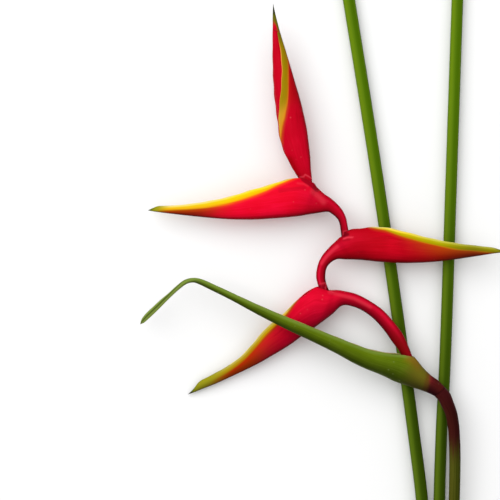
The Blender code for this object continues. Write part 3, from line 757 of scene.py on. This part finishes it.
topBract = {
    **plainBract,
    "name": "topBract",
    "node": "bract_red_top",
    "rim": [(-70.3, 455.5), (-73.2, 464.5), (-75.7, 468.5), (-79.0, 473.8), (-81.8, 480.2),
            (-83.6, 487.0), (-84.6, 495.0), (-85.6, 502.5), (-86.4, 511.0), (-86.8, 520.0),
            (-86.9, 530.0), (-86.8, 539.0), (-86.7, 547.0), (-86.5, 553.3)],
    "keel": [(-66.9, 463.6), (-67.2, 467.0), (-67.6, 471.0), (-67.9, 476.5), (-68.6, 483.0),
             (-69.6, 490.5), (-71.2, 498.0), (-73.0, 505.5), (-75.3, 513.2), (-77.8, 521.8),
             (-80.4, 530.5), (-83.0, 539.0), (-85.1, 547.0), (-86.5, 553.3)],
    "lift": [(0, 13.5), (3, 13.6), (8, 14.0), (13, 14.6)],
    "half": [(0, 2.1), (1, 2.3), (2, 3.1), (3, 4.2), (4, 5.0), (6, 5.4), (8, 4.6), (9, 3.8),
             (10, 2.8), (11, 1.9), (12, 0.9), (13, 0.25)],
    "gap": [(0, 0.0), (1, 0.0), (2, 0.3), (4, 0.5), (9, 0.5), (11, 0.2), (12, 0.0), (13, 0.0)],
    "near": [(0, 0.93), (4, 0.95), (5, 0.97), (6, 0.93), (7, 0.8), (8, 0.62), (9, 0.45),
             (10, 0.34), (11, 0.28), (11.11, 0.93), (13, 0.97)],
    "far": [(0, 0.93), (3, 0.95), (5, 0.98), (13, 0.98)],
    "fold": 0.95,
    "floor": 2,
    "pinch": 11,
    "twoBands": False,
    "farOlive": (11.4, 11.8),
    "seam": [(11, 0.3), (11.35, 0.4), (11.7, 0.75), (12.0, 1.0)],
    "seamBlur": 0.2,
    "seamFade": (0.3, 0.8),
    "lipShow": [(0, 1.0), (9.6, 1.0), (10.6, 0.1), (11, 0.0)],
    "gold": [(0, -9.0), (3.6, -9.0), (4.3, -1.2), (5.0, 0.3), (5.6, 1.5), (6.1, 2.8), (7.0, 3.5),
             (8.0, 3.0), (8.7, 2.6), (9.7, 2.8), (11.0, 3.0), (13.0, 3.0)],
    "warm": [(0, 0.0), (5.8, 0.0), (7.8, 0.9), (13, 1.0)],
    "slant": 0.3,
    "olive": [(0, 0.0), (9.5, 0.0), (11.0, 0.5), (12.0, 0.85), (13, 1.1)],
    "char": [(0, 0.0), (11.95, 0.0), (12.25, 0.85), (13, 1.0)],
    "stem": [(0, 0.5), (1.5, 0.3), (3.0, 0.0), (13, 0.0)],
    "throat": [(0, 0.35), (0.5, 0.0), (13, 0.0)],
    "lines": {
        "stem": [(0.9, 1.1, 4.5, [(-73.0, 461.0), (-75.5, 468.0), (-78.5, 474.0)])],
        "ridge": [(0.7, 0.1, 0.5, [(-73.2, 466.3), (-71.2, 466.6), (-70.5, 467.6), (-68.6, 466.6),
                                   (-66.8, 465.4)])],
    },
    "tints": {
        "deep": (0.38, 0.0006, 0.008),
        "body": (0.47, 0.0008, 0.012),
        "bright": (0.56, 0.0015, 0.018),
        "fineStreaksAndSheen": (0.65, 0.015, 0.05),
        "stem": (0.3, 0.0005, 0.003),
        "stemLight": (0.34, 0.0006, 0.005),
        "stemShadedSide": (0.42, 0.001, 0.012),
        "olive": (0.15, 0.115, 0.003),
        "tipGreen": (0.075, 0.09, 0.002),
        "keelTint": (0.7, 0.6, 0.7),
        "blaze": (0.45, 0.04, 0.01),
        "orange": (0.52, 0.16, 0.006),
        "tipOrange": (0.5, 0.14, 0.006),
        "ember": (0.42, 0.006, 0.008),
        "rust": (0.36, 0.002, 0.006),
        "gold": (0.52, 0.26, 0.016),
        "goldFar": (0.27, 0.175, 0.001),
        "inside": (0.4, 0.0012, 0.01),
        "goldRimAndHighlight": (1.05, 1.1, 1.5),
        "goldInner": (1.1, 0.9, 0.9),
        "lip": (0.85, 0.27, 0.06),
        "shadeReach": 0.18,
        "shadeTint": (0.75, 0.7, 0.75),
    },
}


def bractSection(bract, place):
    # Middle, half sizes and axes of the cross-section at one edge point.
    rim, keel = edgeAt(bract["rim"], place), edgeAt(bract["keel"], place)
    across = rim - keel
    direction = Vector((across.x, across.y, 0.0))
    if direction.length < bractGrid["leastHollow"]:
        before = edgeAt(bract["rim"], place - 1) - edgeAt(bract["keel"], place - 1)
        direction = Vector((before.x, before.y, 0.0))
    direction.normalize()
    turn = math.radians(valueAt(bract["turn"], place))
    flat, thick = across.length / 2, valueAt(bract["half"], place)
    middle = (rim + keel) / 2
    return {
        "middle": Vector((middle.x, middle.y, valueAt(bract["lift"], place))),
        "tall": flat * abs(math.cos(turn)) + thick * abs(math.sin(turn)),
        "half": thick * abs(math.cos(turn)) + flat * abs(math.sin(turn)),
        "gap": valueAt(bract["gap"], place),
        "up": direction * math.cos(turn) + upright * math.sin(turn),
        "out": upright * math.cos(turn) - direction * math.sin(turn),
    }


def profile(section, angle):
    # Height above the keel and distance from the middle plane at one angle from the keel.
    share = (1 - math.cos(angle)) / 2
    outward = section["half"] * math.sin(angle) + section["gap"] * share
    return 2 * section["tall"] * share, outward


def innerProfile(section, angle):
    # The same outline moved inwards by the wall, and kept open along the middle.
    step = math.radians(1.0)
    low = profile(section, max(angle - step, 0.0))
    high = profile(section, min(angle + step, math.pi))
    run = Vector((high[0] - low[0], high[1] - low[1]))
    if angle < step:
        run = Vector((0.0, 1.0))
    run.normalize()
    height, outward = profile(section, angle)
    height += run.y * bractGrid["wall"]
    outward -= run.x * bractGrid["wall"]
    if angle > step:
        outward = max(outward, bractGrid["leastHollow"])
    return height, outward


def placed(section, height, outward):
    rise = height - section["tall"]
    return section["middle"] + section["up"] * rise + section["out"] * outward


def bractLoop(bract, place, along):
    # Outer points from the far margin round the keel to the near margin, inner points alike,
    # and the rounded lips that join them.
    grid, columns = bractGrid, bractGrid["columns"]
    section = bractSection(bract, place)
    outer, inner, shares, heights = [], [], [], []
    for column in range(-columns, columns + 1):
        side = 1 if column >= 0 else -1
        reach = valueAt(bract["near" if side > 0 else "far"], place)
        share = abs(column) / columns
        angle = math.acos(1 - 2 * reach) * share
        ripple = grid["ripple"] * share ** grid["rippleFocus"] * math.sin(
            math.tau * along / grid["rippleLength"] + side + place * grid["rippleDrift"])
        ripple *= min(1.0, section["tall"] / grid["fullRipple"])
        height, outward = profile(section, angle)
        outer.append(placed(section, height + ripple, side * outward))
        heights.append(height)
        height, outward = innerProfile(section, angle)
        inner.append(placed(section, height + ripple, side * outward))
        shares.append(share * side)
    lips = {}
    for name, end, before in (("near", -1, -2), ("far", 0, 1)):
        middle, radius = (outer[end] + inner[end]) / 2, (outer[end] - inner[end]) / 2
        run = outer[end] - outer[before]
        run -= run.project(radius)
        run.normalize()
        lips[name] = []
        for step in range(1, grid["lipPoints"] + 1):
            angle = math.pi * step / (grid["lipPoints"] + 1)
            lips[name].append(middle + radius * math.cos(angle)
                              + run * radius.length * math.sin(angle))
    return section, outer, inner, shares, heights, lips


def overSeam(bract, place, share, top, height, inside):
    # Past a margin that runs on over the closed tip, the side behind shows as before.
    beyond = place - bract["pinch"]
    if share <= 0 or beyond < 0 or "seam" not in bract:
        return 0.0
    seamHeight = top * valueAt(bract["seam"], place) if beyond > 0 else top
    blur = bract["seamBlur"]
    onMargin = share > 0.9 and beyond == 0
    over = max(inside, smooth(-blur, blur, height - seamHeight), onMargin)
    return over * (1.0 - smooth(*bract["seamFade"], beyond))


def paintedLines(bract, place, share, inside, point):
    near = share > 0 and inside < 0.5 and place < bract["floor"] + bractGrid["lineReach"]
    return {tone: nearLines(bract["lines"].get(tone, ()), point) if near else 0.0
            for tone in ("stem", "throat", "ridge")}


def keepSkin(shell, bract, point, place, along, share, girth, top, height, inside=0.0, lip=0.0):
    # "top" is how high this side's margin is over the keel, "height" how high the point is.
    grid, slanted = bractGrid, place + bract["slant"] * abs(share)
    banded = share > 0 or bract["twoBands"]
    band = valueAt(bract["gold"], place) if banded else grid["noBand"]
    lines = paintedLines(bract, place, share, inside, point)
    # Painted shade in the throats of the red bracts; on the green bract a warm tint near its base.
    throat = valueAt(bract["throat"], place)
    throat *= smooth(bract["throatFrom"] - grid["throatBlur"], bract["throatFrom"], abs(share))
    olive = valueAt(bract["olive"], slanted)
    if not banded:
        olive *= smooth(*bract["farOlive"], place)
    width = grid["streakWidth"]
    return keepPoint(
        shell, point,
        skin=(along, share * width, inside * width),
        share=abs(share),
        relief=min(1.0, girth / grid["fullRelief"]) * (1.0 - lip),
        depth=top - height,
        rise=height / max(top, 0.1),
        gold=top - height - band,
        warm=valueAt(bract["warm"], slanted),
        olive=olive,
        stem=max(lines["stem"], valueAt(bract["stem"], place)),
        throat=max(lines["throat"], throat),
        ridge=lines["ridge"],
        char=valueAt(bract["char"], place),
        lip=lip * smooth(*grid["lipBand"], band) * valueAt(bract["lipShow"], place),
        over=overSeam(bract, place, share, top, height, inside),
        inside=inside)


def addBract(bract, material):
    grid, shell = bractGrid, newShell()
    lastPoint = len(bract["rim"]) - 1
    last = lastPoint * grid["rowsPerPoint"]
    floor, pinch = bract["floor"] * grid["rowsPerPoint"], bract["pinch"] * grid["rowsPerPoint"]
    width = 2 * grid["columns"]
    solidLoops, hollowLoops, walls = {}, {}, {}
    along = 0.0
    before = bractSection(bract, 0.0)["middle"]
    for row in range(last):
        place = row / grid["rowsPerPoint"]
        along += (bractSection(bract, place)["middle"] - before).length
        section, outer, inner, shares, heights, lips = bractLoop(bract, place, along)
        before = section["middle"]
        girth = sum((b - a).length for a, b in zip(outer, outer[1:])) / 2
        here, farTop, nearTop = (place, along), heights[0], heights[-1]
        sides = [(share, girth, nearTop if share > 0 else farTop, height)
                 for share, height in zip(shares, heights)]
        outside = [keepSkin(shell, bract, point, *here, *side) for point, side in zip(outer, sides)]
        if row <= floor or row >= pinch:
            # The closed part comes down to the height of the margins before the hollow begins.
            margin = farTop + grid["closedRise"] - 2 * section["tall"]
            height = 2 * section["tall"] * (1.0 if row <= pinch else bract["fold"])
            height += margin * smooth(bract["floor"] - 2, bract["floor"], place) * (row <= floor)
            crease = placed(section, height, 0.0)
            seam = keepSkin(shell, bract, crease, *here, 1.0, girth, nearTop, height)
            solidLoops[row] = outside + [seam]
        if floor <= row <= pinch:
            edge = 1.0 if floor < row < pinch else 0.0
            nearLip = [keepSkin(shell, bract, point, *here, 1.0, girth, nearTop, nearTop, 0.0, edge)
                       for point in lips["near"]]
            inside = [keepSkin(shell, bract, point, *here, *side, 1.0)
                      for point, side in zip(inner, sides)]
            farLip = [keepSkin(shell, bract, point, *here, -1.0, girth, farTop, farTop, 0.0, edge)
                      for point in reversed(lips["far"])]
            hollowLoops[row] = outside + nearLip + inside[::-1] + farLip
            if row in (floor, pinch):
                nearChain = [outside[width]] + nearLip + [inside[width]]
                farChain = [inside[0]] + farLip + [outside[0]]
                walls[row] = (nearChain, farChain, inside, seam)
    end = bractSection(bract, lastPoint)["middle"]
    tip = keepSkin(shell, bract, end, lastPoint, along, share=0.0, girth=0.0, top=0.1, height=0.05)

    for row in range(last - 1):
        for loops in (solidLoops, hollowLoops):
            if row in loops and row + 1 in loops:
                joinRings(shell, loops[row], loops[row + 1])

    # Walls across the hollow at its floor and at its pinched end.
    middle, faces = grid["columns"], shell["faces"]
    for nearChain, farChain, inside, seam in walls.values():
        for chain in (nearChain, farChain):
            for first, second in zip(chain, chain[1:]):
                faces.append((first, seam, second))
        faces.append((inside[width], seam, inside[0]))
        faces.append((inside[middle], inside[middle + 1], inside[middle - 1]))
        for step in range(1, middle):
            low, high = middle - step, middle + step
            faces.append((inside[low], inside[high], inside[high + 1], inside[low - 1]))

    # Flat base and pointed tip.
    base, ring = solidLoops[0], solidLoops[last - 1]
    start = bractSection(bract, 0.0)["middle"]
    centre = keepSkin(shell, bract, start, 0.0, 0.0, share=0.0, girth=1.0, top=1.0, height=0.5)
    for index in range(len(base)):
        faces.append((base[(index + 1) % len(base)], base[index], centre))
        faces.append((ring[index], ring[(index + 1) % len(ring)], tip))
    finishPiece(shell, bract, grid, material)


# The young bract rolled up inside the top bract, by the top bract's edge points.
# Its colour marks stay the same all over, as "flat" says.

youngBract = {
    "name": "youngBract",
    "node": "bract_red_young",
    "slot": "bract_red",
    "first": 2.15,
    "last": 10.98,
    "rows": 90,
    "columns": 64,
    "inset": 0.85,
    "rimShare": 0.955,
    "taper": 6.9,
    "lean": 0.165,
    "leanFrom": 0.28,
    "leanMiddle": 0.25,
    "skinLength": 80.0,
    "skinOffset": 3.0,
    "veins": 16,
    "veinHeight": 0.018,
    "shade": [(0.0, 0.2), (0.5, 0.1), (1.0, 0.0)],
    "flat": {"depth": 50.0, "rise": 1.0, "gold": 50.0, "warm": 0.0, "olive": 0.0, "throat": 0.0,
             "ridge": 0.0, "char": 0.0, "lip": 0.0, "over": 0.0, "inside": 0.0},
}


def addYoungBract(material):
    young, shell, rings = youngBract, newShell(), []

    def keep(point, progress, share, swell):
        length, width = progress * young["skinLength"], share * bractGrid["streakWidth"]
        skin = (length, width, young["skinOffset"])
        return keepPoint(shell, point, skin=skin, share=share, relief=swell,
                         stem=valueAt(young["shade"], progress), **young["flat"])

    for row in range(1, young["rows"] + 1):
        progress = row / young["rows"]
        place = young["first"] + (young["last"] - young["first"]) * progress
        section = bractSection(topBract, place)
        low, high = young["inset"] / (2 * section["tall"]), young["rimShare"]
        half = section["half"] - young["inset"]
        swell = min(1.0, young["taper"] * progress)
        centre, reachUp = (low + high) / 2, (high - low) / 2
        ring = []
        for column in range(young["columns"]):
            angle = math.tau * column / young["columns"]
            share = centre - reachUp * math.cos(angle) * swell
            outward = half * math.sin(angle) * swell
            if row == young["rows"]:
                # The last ring leans, along the slope on which the side behind closes.
                further = young["lean"] * max(0.0, share - young["leanFrom"])
                section = bractSection(topBract, place + further)
            point = placed(section, 2 * section["tall"] * share, outward)
            ring.append(keep(point, progress, column / young["columns"], swell))
        rings.append(ring)
    for here, there in zip(rings, rings[1:]):
        joinRings(shell, here, there)
    last = young["last"] + young["lean"] * young["leanMiddle"]
    for place, ring, progress in ((young["first"], rings[0], 0.0), (last, rings[-1], 1.0)):
        closeRing(shell, ring, keep(bractSection(topBract, place)["middle"], progress, 0.0, 0.0))
    finishPiece(shell, young, young, material)


# Leaf stalks and the sheaths that they grow from, by the height Y along the stem.
# "dorsalAngle" is where the backs of both lie round the stem, "wrap" how far a sheath reaches round
# to each side, "grow" how far it is still sheath and not stalk, and "partZone" has closer rows.

stem = {
    "baseY": -260.0,
    "partY": 290.0,
    "tipY": 640.0,
    "dorsalAngle": 196.67,
    "flatShare": 0.9674,
    "columns": 30,
    "longStep": 6.0,
    "shortStep": 2.0,
    "leastStep": 0.5,
    "insideSkin": 9.0,
    "partZone": (185.0, 345.0),
    "centreX": [(-260.0, 3.0), (-130.0, 1.2), (0.0, 0.0), (150.0, -1.0), (245.0, -1.3)],
    "radius": [(-260.0, 4.9), (-130.0, 5.1), (0.0, 5.4), (100.0, 5.7), (225.0, 6.2),
               (300.0, 6.2)],
    "veins": 14,
    "veinHeight": 0.02,
}
outerSheath = {
    "name": "leftLeafStalk",
    "node": "leaf_stalk_left",
    "slot": "stalk_green",
    "inset": 0.0,
    "wall": [(-260.0, 1.0), (225.0, 1.0)],
    "radius": 3.08,
    "centreX": [(275.0, -9.2), (305.0, -11.5), (335.0, -15.2), (405.0, -24.8), (480.0, -35.9),
                (555.0, -47.9), (640.0, -61.8)],
    "grow": [(243.0, 1.0), (257.0, 0.85), (270.0, 0.55), (285.0, 0.2), (300.0, 0.0)],
    "wrap": [(205.0, 176.0), (225.0, 160.0), (243.0, 138.0), (300.0, 100.0)],
}
innerSheath = {
    "name": "rightLeafStalk",
    "node": "leaf_stalk_right",
    "slot": "stalk_green",
    "inset": 1.5,
    "wall": [(-260.0, 0.8), (225.0, 1.0)],
    "radius": 2.92,
    "centreX": [(265.0, -2.9), (300.0, -2.7), (335.0, -1.7), (375.0, 0.3), (455.0, 3.1),
                (555.0, 6.6), (640.0, 9.7)],
    "grow": [(213.0, 1.0), (226.0, 0.82), (239.0, 0.5), (252.0, 0.17), (265.0, 0.0)],
    "wrap": [(190.0, 176.0), (213.0, 150.0), (239.0, 115.0), (265.0, 100.0)],
}


def around(angle):
    return Vector((math.cos(angle), 0.0, math.sin(angle)))


def stalkCentre(sheath, y):
    low = stem["flatShare"] * valueAt(stem["radius"], stem["partY"])
    share = max(0.0, (y - stem["partY"]) / (stem["tipY"] - stem["partY"]))
    return Vector((valueAt(sheath["centreX"], y), y, low + (sheath["radius"] - low) * share))


def sheathRing(sheath, y):
    # Outer points round the back, then inner points back again, with the angle of each.
    radius = valueAt(stem["radius"], y)
    centre = Vector((valueAt(stem["centreX"], y), y, stem["flatShare"] * radius))
    outerRadius = radius - sheath["inset"]
    innerRadius = outerRadius - valueAt(sheath["wall"], y)
    wrap, grown = valueAt(sheath["wrap"], y), valueAt(sheath["grow"], y)
    stalk, columns = stalkCentre(sheath, y), stem["columns"]
    count = 2 * (2 * columns + 1)
    ring, angles = [], []
    for index in range(count):
        outside = index < count // 2
        column = index - columns if outside else count - 1 - index - columns
        sheathAngle = math.radians(stem["dorsalAngle"] + wrap * column / columns)
        sheathRadius = outerRadius if outside else innerRadius
        wide = centre + sheathRadius * around(sheathAngle)
        roundAngle = math.radians(stem["dorsalAngle"] + 360.0 / count * (index - columns))
        thin = stalk + sheath["radius"] * around(roundAngle)
        point = thin.lerp(wide, grown)
        point.z = max(point.z, 0.0)
        ring.append(point)
        turned = (sheathAngle - roundAngle) * grown if outside else 0.0
        angles.append(roundAngle + turned)
    return ring, angles, grown


def sheathRows():
    rows, y = [], stem["baseY"]
    low, high = stem["partZone"]
    while y < stem["tipY"] - stem["leastStep"]:
        rows.append(y)
        y += stem["shortStep"] if low <= y < high else stem["longStep"]
    return rows + [stem["tipY"]]


def addSheath(sheath, material):
    shell, rings = newShell(), []
    for y in sheathRows():
        ring, angles, grown = sheathRing(sheath, y)
        half = len(ring) // 2
        rings.append([])
        for index, (point, angle) in enumerate(zip(ring, angles)):
            outside = index < half
            rings[-1].append(keepPoint(
                shell, point,
                skin=(y, angle * sheath["radius"], 0.0 if outside else stem["insideSkin"]),
                share=index / (half - 1) if outside else 0.0,
                relief=1.0 if outside else 0.0,
                across=math.cos(angle),
                inside=0.0 if outside else grown))
    for here, there in zip(rings, rings[1:]):
        joinRings(shell, here, there)
    for ring in (rings[0], rings[-1]):
        for index in range(half - 1):
            after, back = index + 1, -1 - index
            shell["faces"].append((ring[index], ring[after], ring[back - 1], ring[back]))
    finishPiece(shell, sheath, stem, material)


stalkSkin = {
    "light": [(0.36, 0.42, 0.03), (0.15, 0.23, 0.008), (0.082, 0.135, 0.006),
              (0.125, 0.215, 0.005)],
    "shaded": [(0.25, 0.31, 0.012), (0.08, 0.14, 0.002), (0.028, 0.056, 0.0005),
               (0.06, 0.13, 0.0006)],
    "line": (1.5, 1.3, 3.0),
    "edge": (0.35, 0.32, 0.6),
    "fleck": (0.4, 0.45, 0.6),
    "inside": (0.42, 0.46, 0.12),
    "cut": (0.5, 0.46, 0.2),
    "cutDark": (0.2, 0.17, 0.05),
    "long": (0.012, 2.2, 0.4),
    "fine": (0.03, 6.0, 0.4),
    "cloud": (60.0, 22.0, 60.0),
    "longShare": 0.65,
    "rough": 0.7,
    "fleckShare": 0.35,
    "cells": 900.0,
    "steps": {"shade": (-0.75, 0.2), "shadeBack": (-0.75, -1.1, 0.0, 0.5), "edge": (0.86, 1.0),
              "lineStart": (0.6, 0.78), "lineEnd": (0.95, 0.82), "pits": (0.2, 0.6)},
    "bands": [(-0.26, -0.02), (0.0, 0.3), (0.33, 0.52)],
    "specular": 0.018,
}


def cutMask(tree, place):
    # One where the surface is a cut end.
    y = addNode(tree, "ShaderNodeSeparateXYZ", {0: place}).outputs["Y"]
    base, tip = stem["baseY"] * millimetre, stem["tipY"] * millimetre
    outer, inner = 0.05 * millimetre, 0.25 * millimetre
    low = spread(tree, y, base + inner, base + outer)
    high = spread(tree, y, tip - inner, tip - outer)
    return math2(tree, "MAXIMUM", low, high), y


def stalkColour(tree, look):
    skin, place = mark(tree, "skin", "Vector"), objectPlace(tree)
    cut, y = cutMask(tree, place)
    long = streaks(tree, skin, look["long"], 4.0)
    cloud = streaks(tree, place, look["cloud"])
    fine = streaks(tree, skin, look["fine"], 2.0)
    share, steps = look["longShare"], look["steps"]
    mixed = plus(tree, times(tree, long, share), times(tree, cloud, 1 - share))
    # Light along the left shoulder, dark to the right, with a fine pale line before the edge.
    across = roughened(tree, mark(tree, "across"), centred(tree, mixed), look["rough"])
    tones = {}
    for tone in ("light", "shaded"):
        tones[tone] = look[tone][0]
        for (low, high), further in zip(look["bands"], look[tone][1:]):
            tones[tone] = blendColour(tree, spread(tree, y, low, high), tones[tone], further)
    shade = spread(tree, across, *steps["shade"])
    shade = math2(tree, "MAXIMUM", shade, spread(tree, across, *steps["shadeBack"]))
    body = blendColour(tree, shade, tones["light"], tones["shaded"])
    flecks = spread(tree, fine, *fineSteps, 0.0, look["fleckShare"])
    line = spread(tree, across, *steps["lineStart"])
    line = times(tree, line, spread(tree, across, *steps["lineEnd"]))
    edge = spread(tree, across, *steps["edge"])
    for share, tone in ((flecks, "fleck"), (line, "line"), (edge, "edge")):
        body = blendColour(tree, share, body, look[tone], "MULTIPLY")
    body = layOn(tree, body, look, ("inside",))
    cells = addNode(tree, "ShaderNodeTexVoronoi", {"Vector": place, "Scale": look["cells"]})
    pits = spread(tree, cells.outputs["Distance"], *steps["pits"])
    return blendColour(tree, cut, body, blendColour(tree, pits, look["cutDark"], look["cut"]))


# Flower stalk, from the cut end up to the scar under the green bract.
# Each point of "route" is a place and the radius there.

flowerStalk = {
    "name": "flowerStalk",
    "node": "flower_stalk",
    "slot": "stalk_olive",
    "route": [
        (3.0, -260.0, 4.74, 2.1), (1.2, -130.0, 4.93, 2.15), (0.0, 0.0, 5.22, 2.3),
        (-0.65, 100.0, 5.51, 2.45), (-1.2, 200.0, 5.9, 2.55), (-0.6, 230.0, 6.5, 2.6),
        (1.1, 246.0, 7.3, 2.6), (2.3, 262.0, 8.3, 2.6), (3.8, 285.0, 9.5, 2.7),
        (4.5, 310.0, 10.6, 2.8), (4.6, 327.5, 11.3, 2.85), (4.3, 336.5, 11.7, 2.85),
        (3.7, 343.0, 12.1, 2.9), (2.55, 348.5, 12.6, 3.0), (0.7, 353.1, 13.0, 3.2),
        (-1.0, 356.8, 13.15, 3.4), (-3.16, 359.21, 13.2, 3.4),
    ],
    "rowsPerPoint": 10,
    "columns": 48,
    "skinWidth": 16.0,
    "veins": 12,
    "veinHeight": 0.02,
    "green": (0.034, 0.04, 0.0015),
    "greenLitSide": (0.075, 0.075, 0.007),
    "maroon": (0.024, 0.0026, 0.002),
    "maroonLitSide": (0.048, 0.0075, 0.005),
    "rosy": (0.045, 0.004, 0.005),
    "long": (0.03, 1.6, 0.4),
    "shadeShare": -0.3,
    "rough": 0.03,
    "light": (0.35, 0.8),
    "turn": (0.322, 0.338),
    "blush": (0.347, 0.36, 0.0, 0.8),
    "specular": 0.02,
}


def flowerStalkColour(tree, look):
    skin, place = mark(tree, "skin", "Vector"), objectPlace(tree)
    cut, y = cutMask(tree, place)
    long = streaks(tree, skin, look["long"], 4.0)
    grain = centred(tree, long)
    # Painted light: the side turned to the lamps is lighter, by the angle round the stalk.
    light = plus(tree, times(tree, mark(tree, "across"), look["shadeShare"]), long)
    light = spread(tree, light, *look["light"])
    green = blendColour(tree, light, look["green"], look["greenLitSide"])
    maroon = blendColour(tree, light, look["maroon"], look["maroonLitSide"])
    height = roughened(tree, y, grain, look["rough"])
    body = blendColour(tree, spread(tree, height, *look["turn"]), green, maroon)
    body = blendColour(tree, spread(tree, y, *look["blush"]), body, look["rosy"])
    return blendColour(tree, cut, body, stalkSkin["cut"])


def addFlowerStalk(material):
    route, shell, rings = flowerStalk["route"], newShell(), []
    last = (len(route) - 1) * flowerStalk["rowsPerPoint"]
    path = [edgeAt([knot[:3] for knot in route], row / flowerStalk["rowsPerPoint"])
            for row in range(last + 1)]
    radii = [(index, knot[3]) for index, knot in enumerate(route)]
    columns = flowerStalk["columns"]
    along = 0.0

    def keep(point, share, relief):
        skin = (along, share * flowerStalk["skinWidth"], 0.0)
        return keepPoint(shell, point, skin=skin, share=share, relief=relief,
                         across=math.cos(math.tau * share))

    for row, middle in enumerate(path):
        before = path[max(row - 1, 0)]
        tangent = path[min(row + 1, last)] - before
        along += (middle - before).length
        side = tangent.cross(upright).normalized()
        lift = side.cross(tangent).normalized()
        radius = valueAt(radii, row / flowerStalk["rowsPerPoint"])
        rings.append([])
        for column in range(columns):
            angle = math.tau * column / columns
            point = middle + radius * (side * math.cos(angle) + lift * math.sin(angle))
            rings[-1].append(keep(point, column / columns, 1.0))
    for here, there in zip(rings, rings[1:]):
        joinRings(shell, here, there)
    for ring, middle in ((rings[0], path[0]), (rings[-1], path[-1])):
        closeRing(shell, ring, keep(middle, 0.0, 0.0))
    finishPiece(shell, flowerStalk, flowerStalk, material)


# Floor, light and camera

studio = {
    "floorSize": 14.0,
    "floorDrop": 0.0001,
    "floorColour": (0.86, 0.86, 0.86),
    "floorMottle": (0.84, 0.84, 0.84),
    "floorRoughness": 0.9,
    "floorSpecular": 0.1,
    "worldColour": (1.0, 1.0, 1.0),
    "worldStrength": 0.55,
    "target": (-0.06, 0.43, 0.01),
    "lights": [
        {"name": "keyLight", "place": (-0.6, 1.0, 1.2), "size": 1.6, "power": 17.0},
        {"name": "fillLight", "place": (0.5, 0.2, 1.4), "size": 1.6, "power": 5.0},
    ],
    "lens": 150.0,
    "sensor": 36.0,
    "viewSize": 0.25,
    "viewCentre": (-0.098, 0.43),
    "headHeight": 0.013,
}


def makeStudio():
    half = studio["floorSize"] / 2
    mesh = bpy.data.meshes.new("paleFloor")
    corners = [(-half, -half), (half, -half), (half, half), (-half, half)]
    mesh.from_pydata([(x, y, -studio["floorDrop"]) for x, y in corners], [], [(0, 1, 2, 3)])
    floor = bpy.data.objects.new("paleFloor", mesh)
    bpy.context.scene.collection.objects.link(floor)
    material = bpy.data.materials.new("palePaper")
    material.use_nodes = True
    tree = material.node_tree
    mottle = clouds(tree, objectPlace(tree), 3.0, 2.0)
    colour = blendColour(tree, mottle, studio["floorColour"], studio["floorMottle"])
    shader = tree.nodes["Principled BSDF"]
    tree.links.new(colour, shader.inputs["Base Color"])
    shader.inputs["Roughness"].default_value = studio["floorRoughness"]
    shader.inputs["Specular IOR Level"].default_value = studio["floorSpecular"]
    mesh.materials.append(material)

    world = bpy.data.worlds.new("studioAir")
    world.use_nodes = True
    sky = world.node_tree.nodes["Background"]
    sky.inputs["Color"].default_value = (*studio["worldColour"], 1.0)
    sky.inputs["Strength"].default_value = studio["worldStrength"]
    bpy.context.scene.world = world

    for light in studio["lights"]:
        lamp = bpy.data.lights.new(light["name"], "AREA")
        lamp.shape = "DISK"
        lamp.size = light["size"]
        lamp.energy = light["power"]
        holder = bpy.data.objects.new(light["name"], lamp)
        holder.location = light["place"]
        aim = Vector(studio["target"]) - holder.location
        holder.rotation_euler = aim.to_track_quat("-Z", "Y").to_euler()
        bpy.context.scene.collection.objects.link(holder)

    lens = bpy.data.cameras.new("photoCamera")
    lens.type = "PERSP"
    lens.lens = studio["lens"]
    lens.sensor_width = studio["sensor"]
    camera = bpy.data.objects.new("photoCamera", lens)
    distance = studio["viewSize"] / studio["sensor"] * studio["lens"]
    camera.location = (*studio["viewCentre"], studio["headHeight"] + distance)
    bpy.context.scene.collection.objects.link(camera)
    bpy.context.scene.camera = camera
    bpy.context.scene.view_settings.view_transform = "Standard"
    print("studio ready")


makeStudio()
veinTree, veinSockets = makeVeinTree()
greenFinish = skinMaterial("waxyGreen", greenColour, greenSkin)
stalkFinish = skinMaterial("leafStalkGreen", stalkColour, stalkSkin)
flowerStalkFinish = skinMaterial("maroonToOlive", flowerStalkColour, flowerStalk)
print("finishes ready")

addSheath(outerSheath, stalkFinish)
addSheath(innerSheath, stalkFinish)
addFlowerStalk(flowerStalkFinish)
addBract(greenBract, greenFinish)
for redBract in (lowerBract, rightBract, leftBract, topBract):
    redFinish = skinMaterial(redBract["name"] + "Red", redColour, {**redSkin, **redBract["tints"]})
    addBract(redBract, redFinish)
addYoungBract(redFinish)
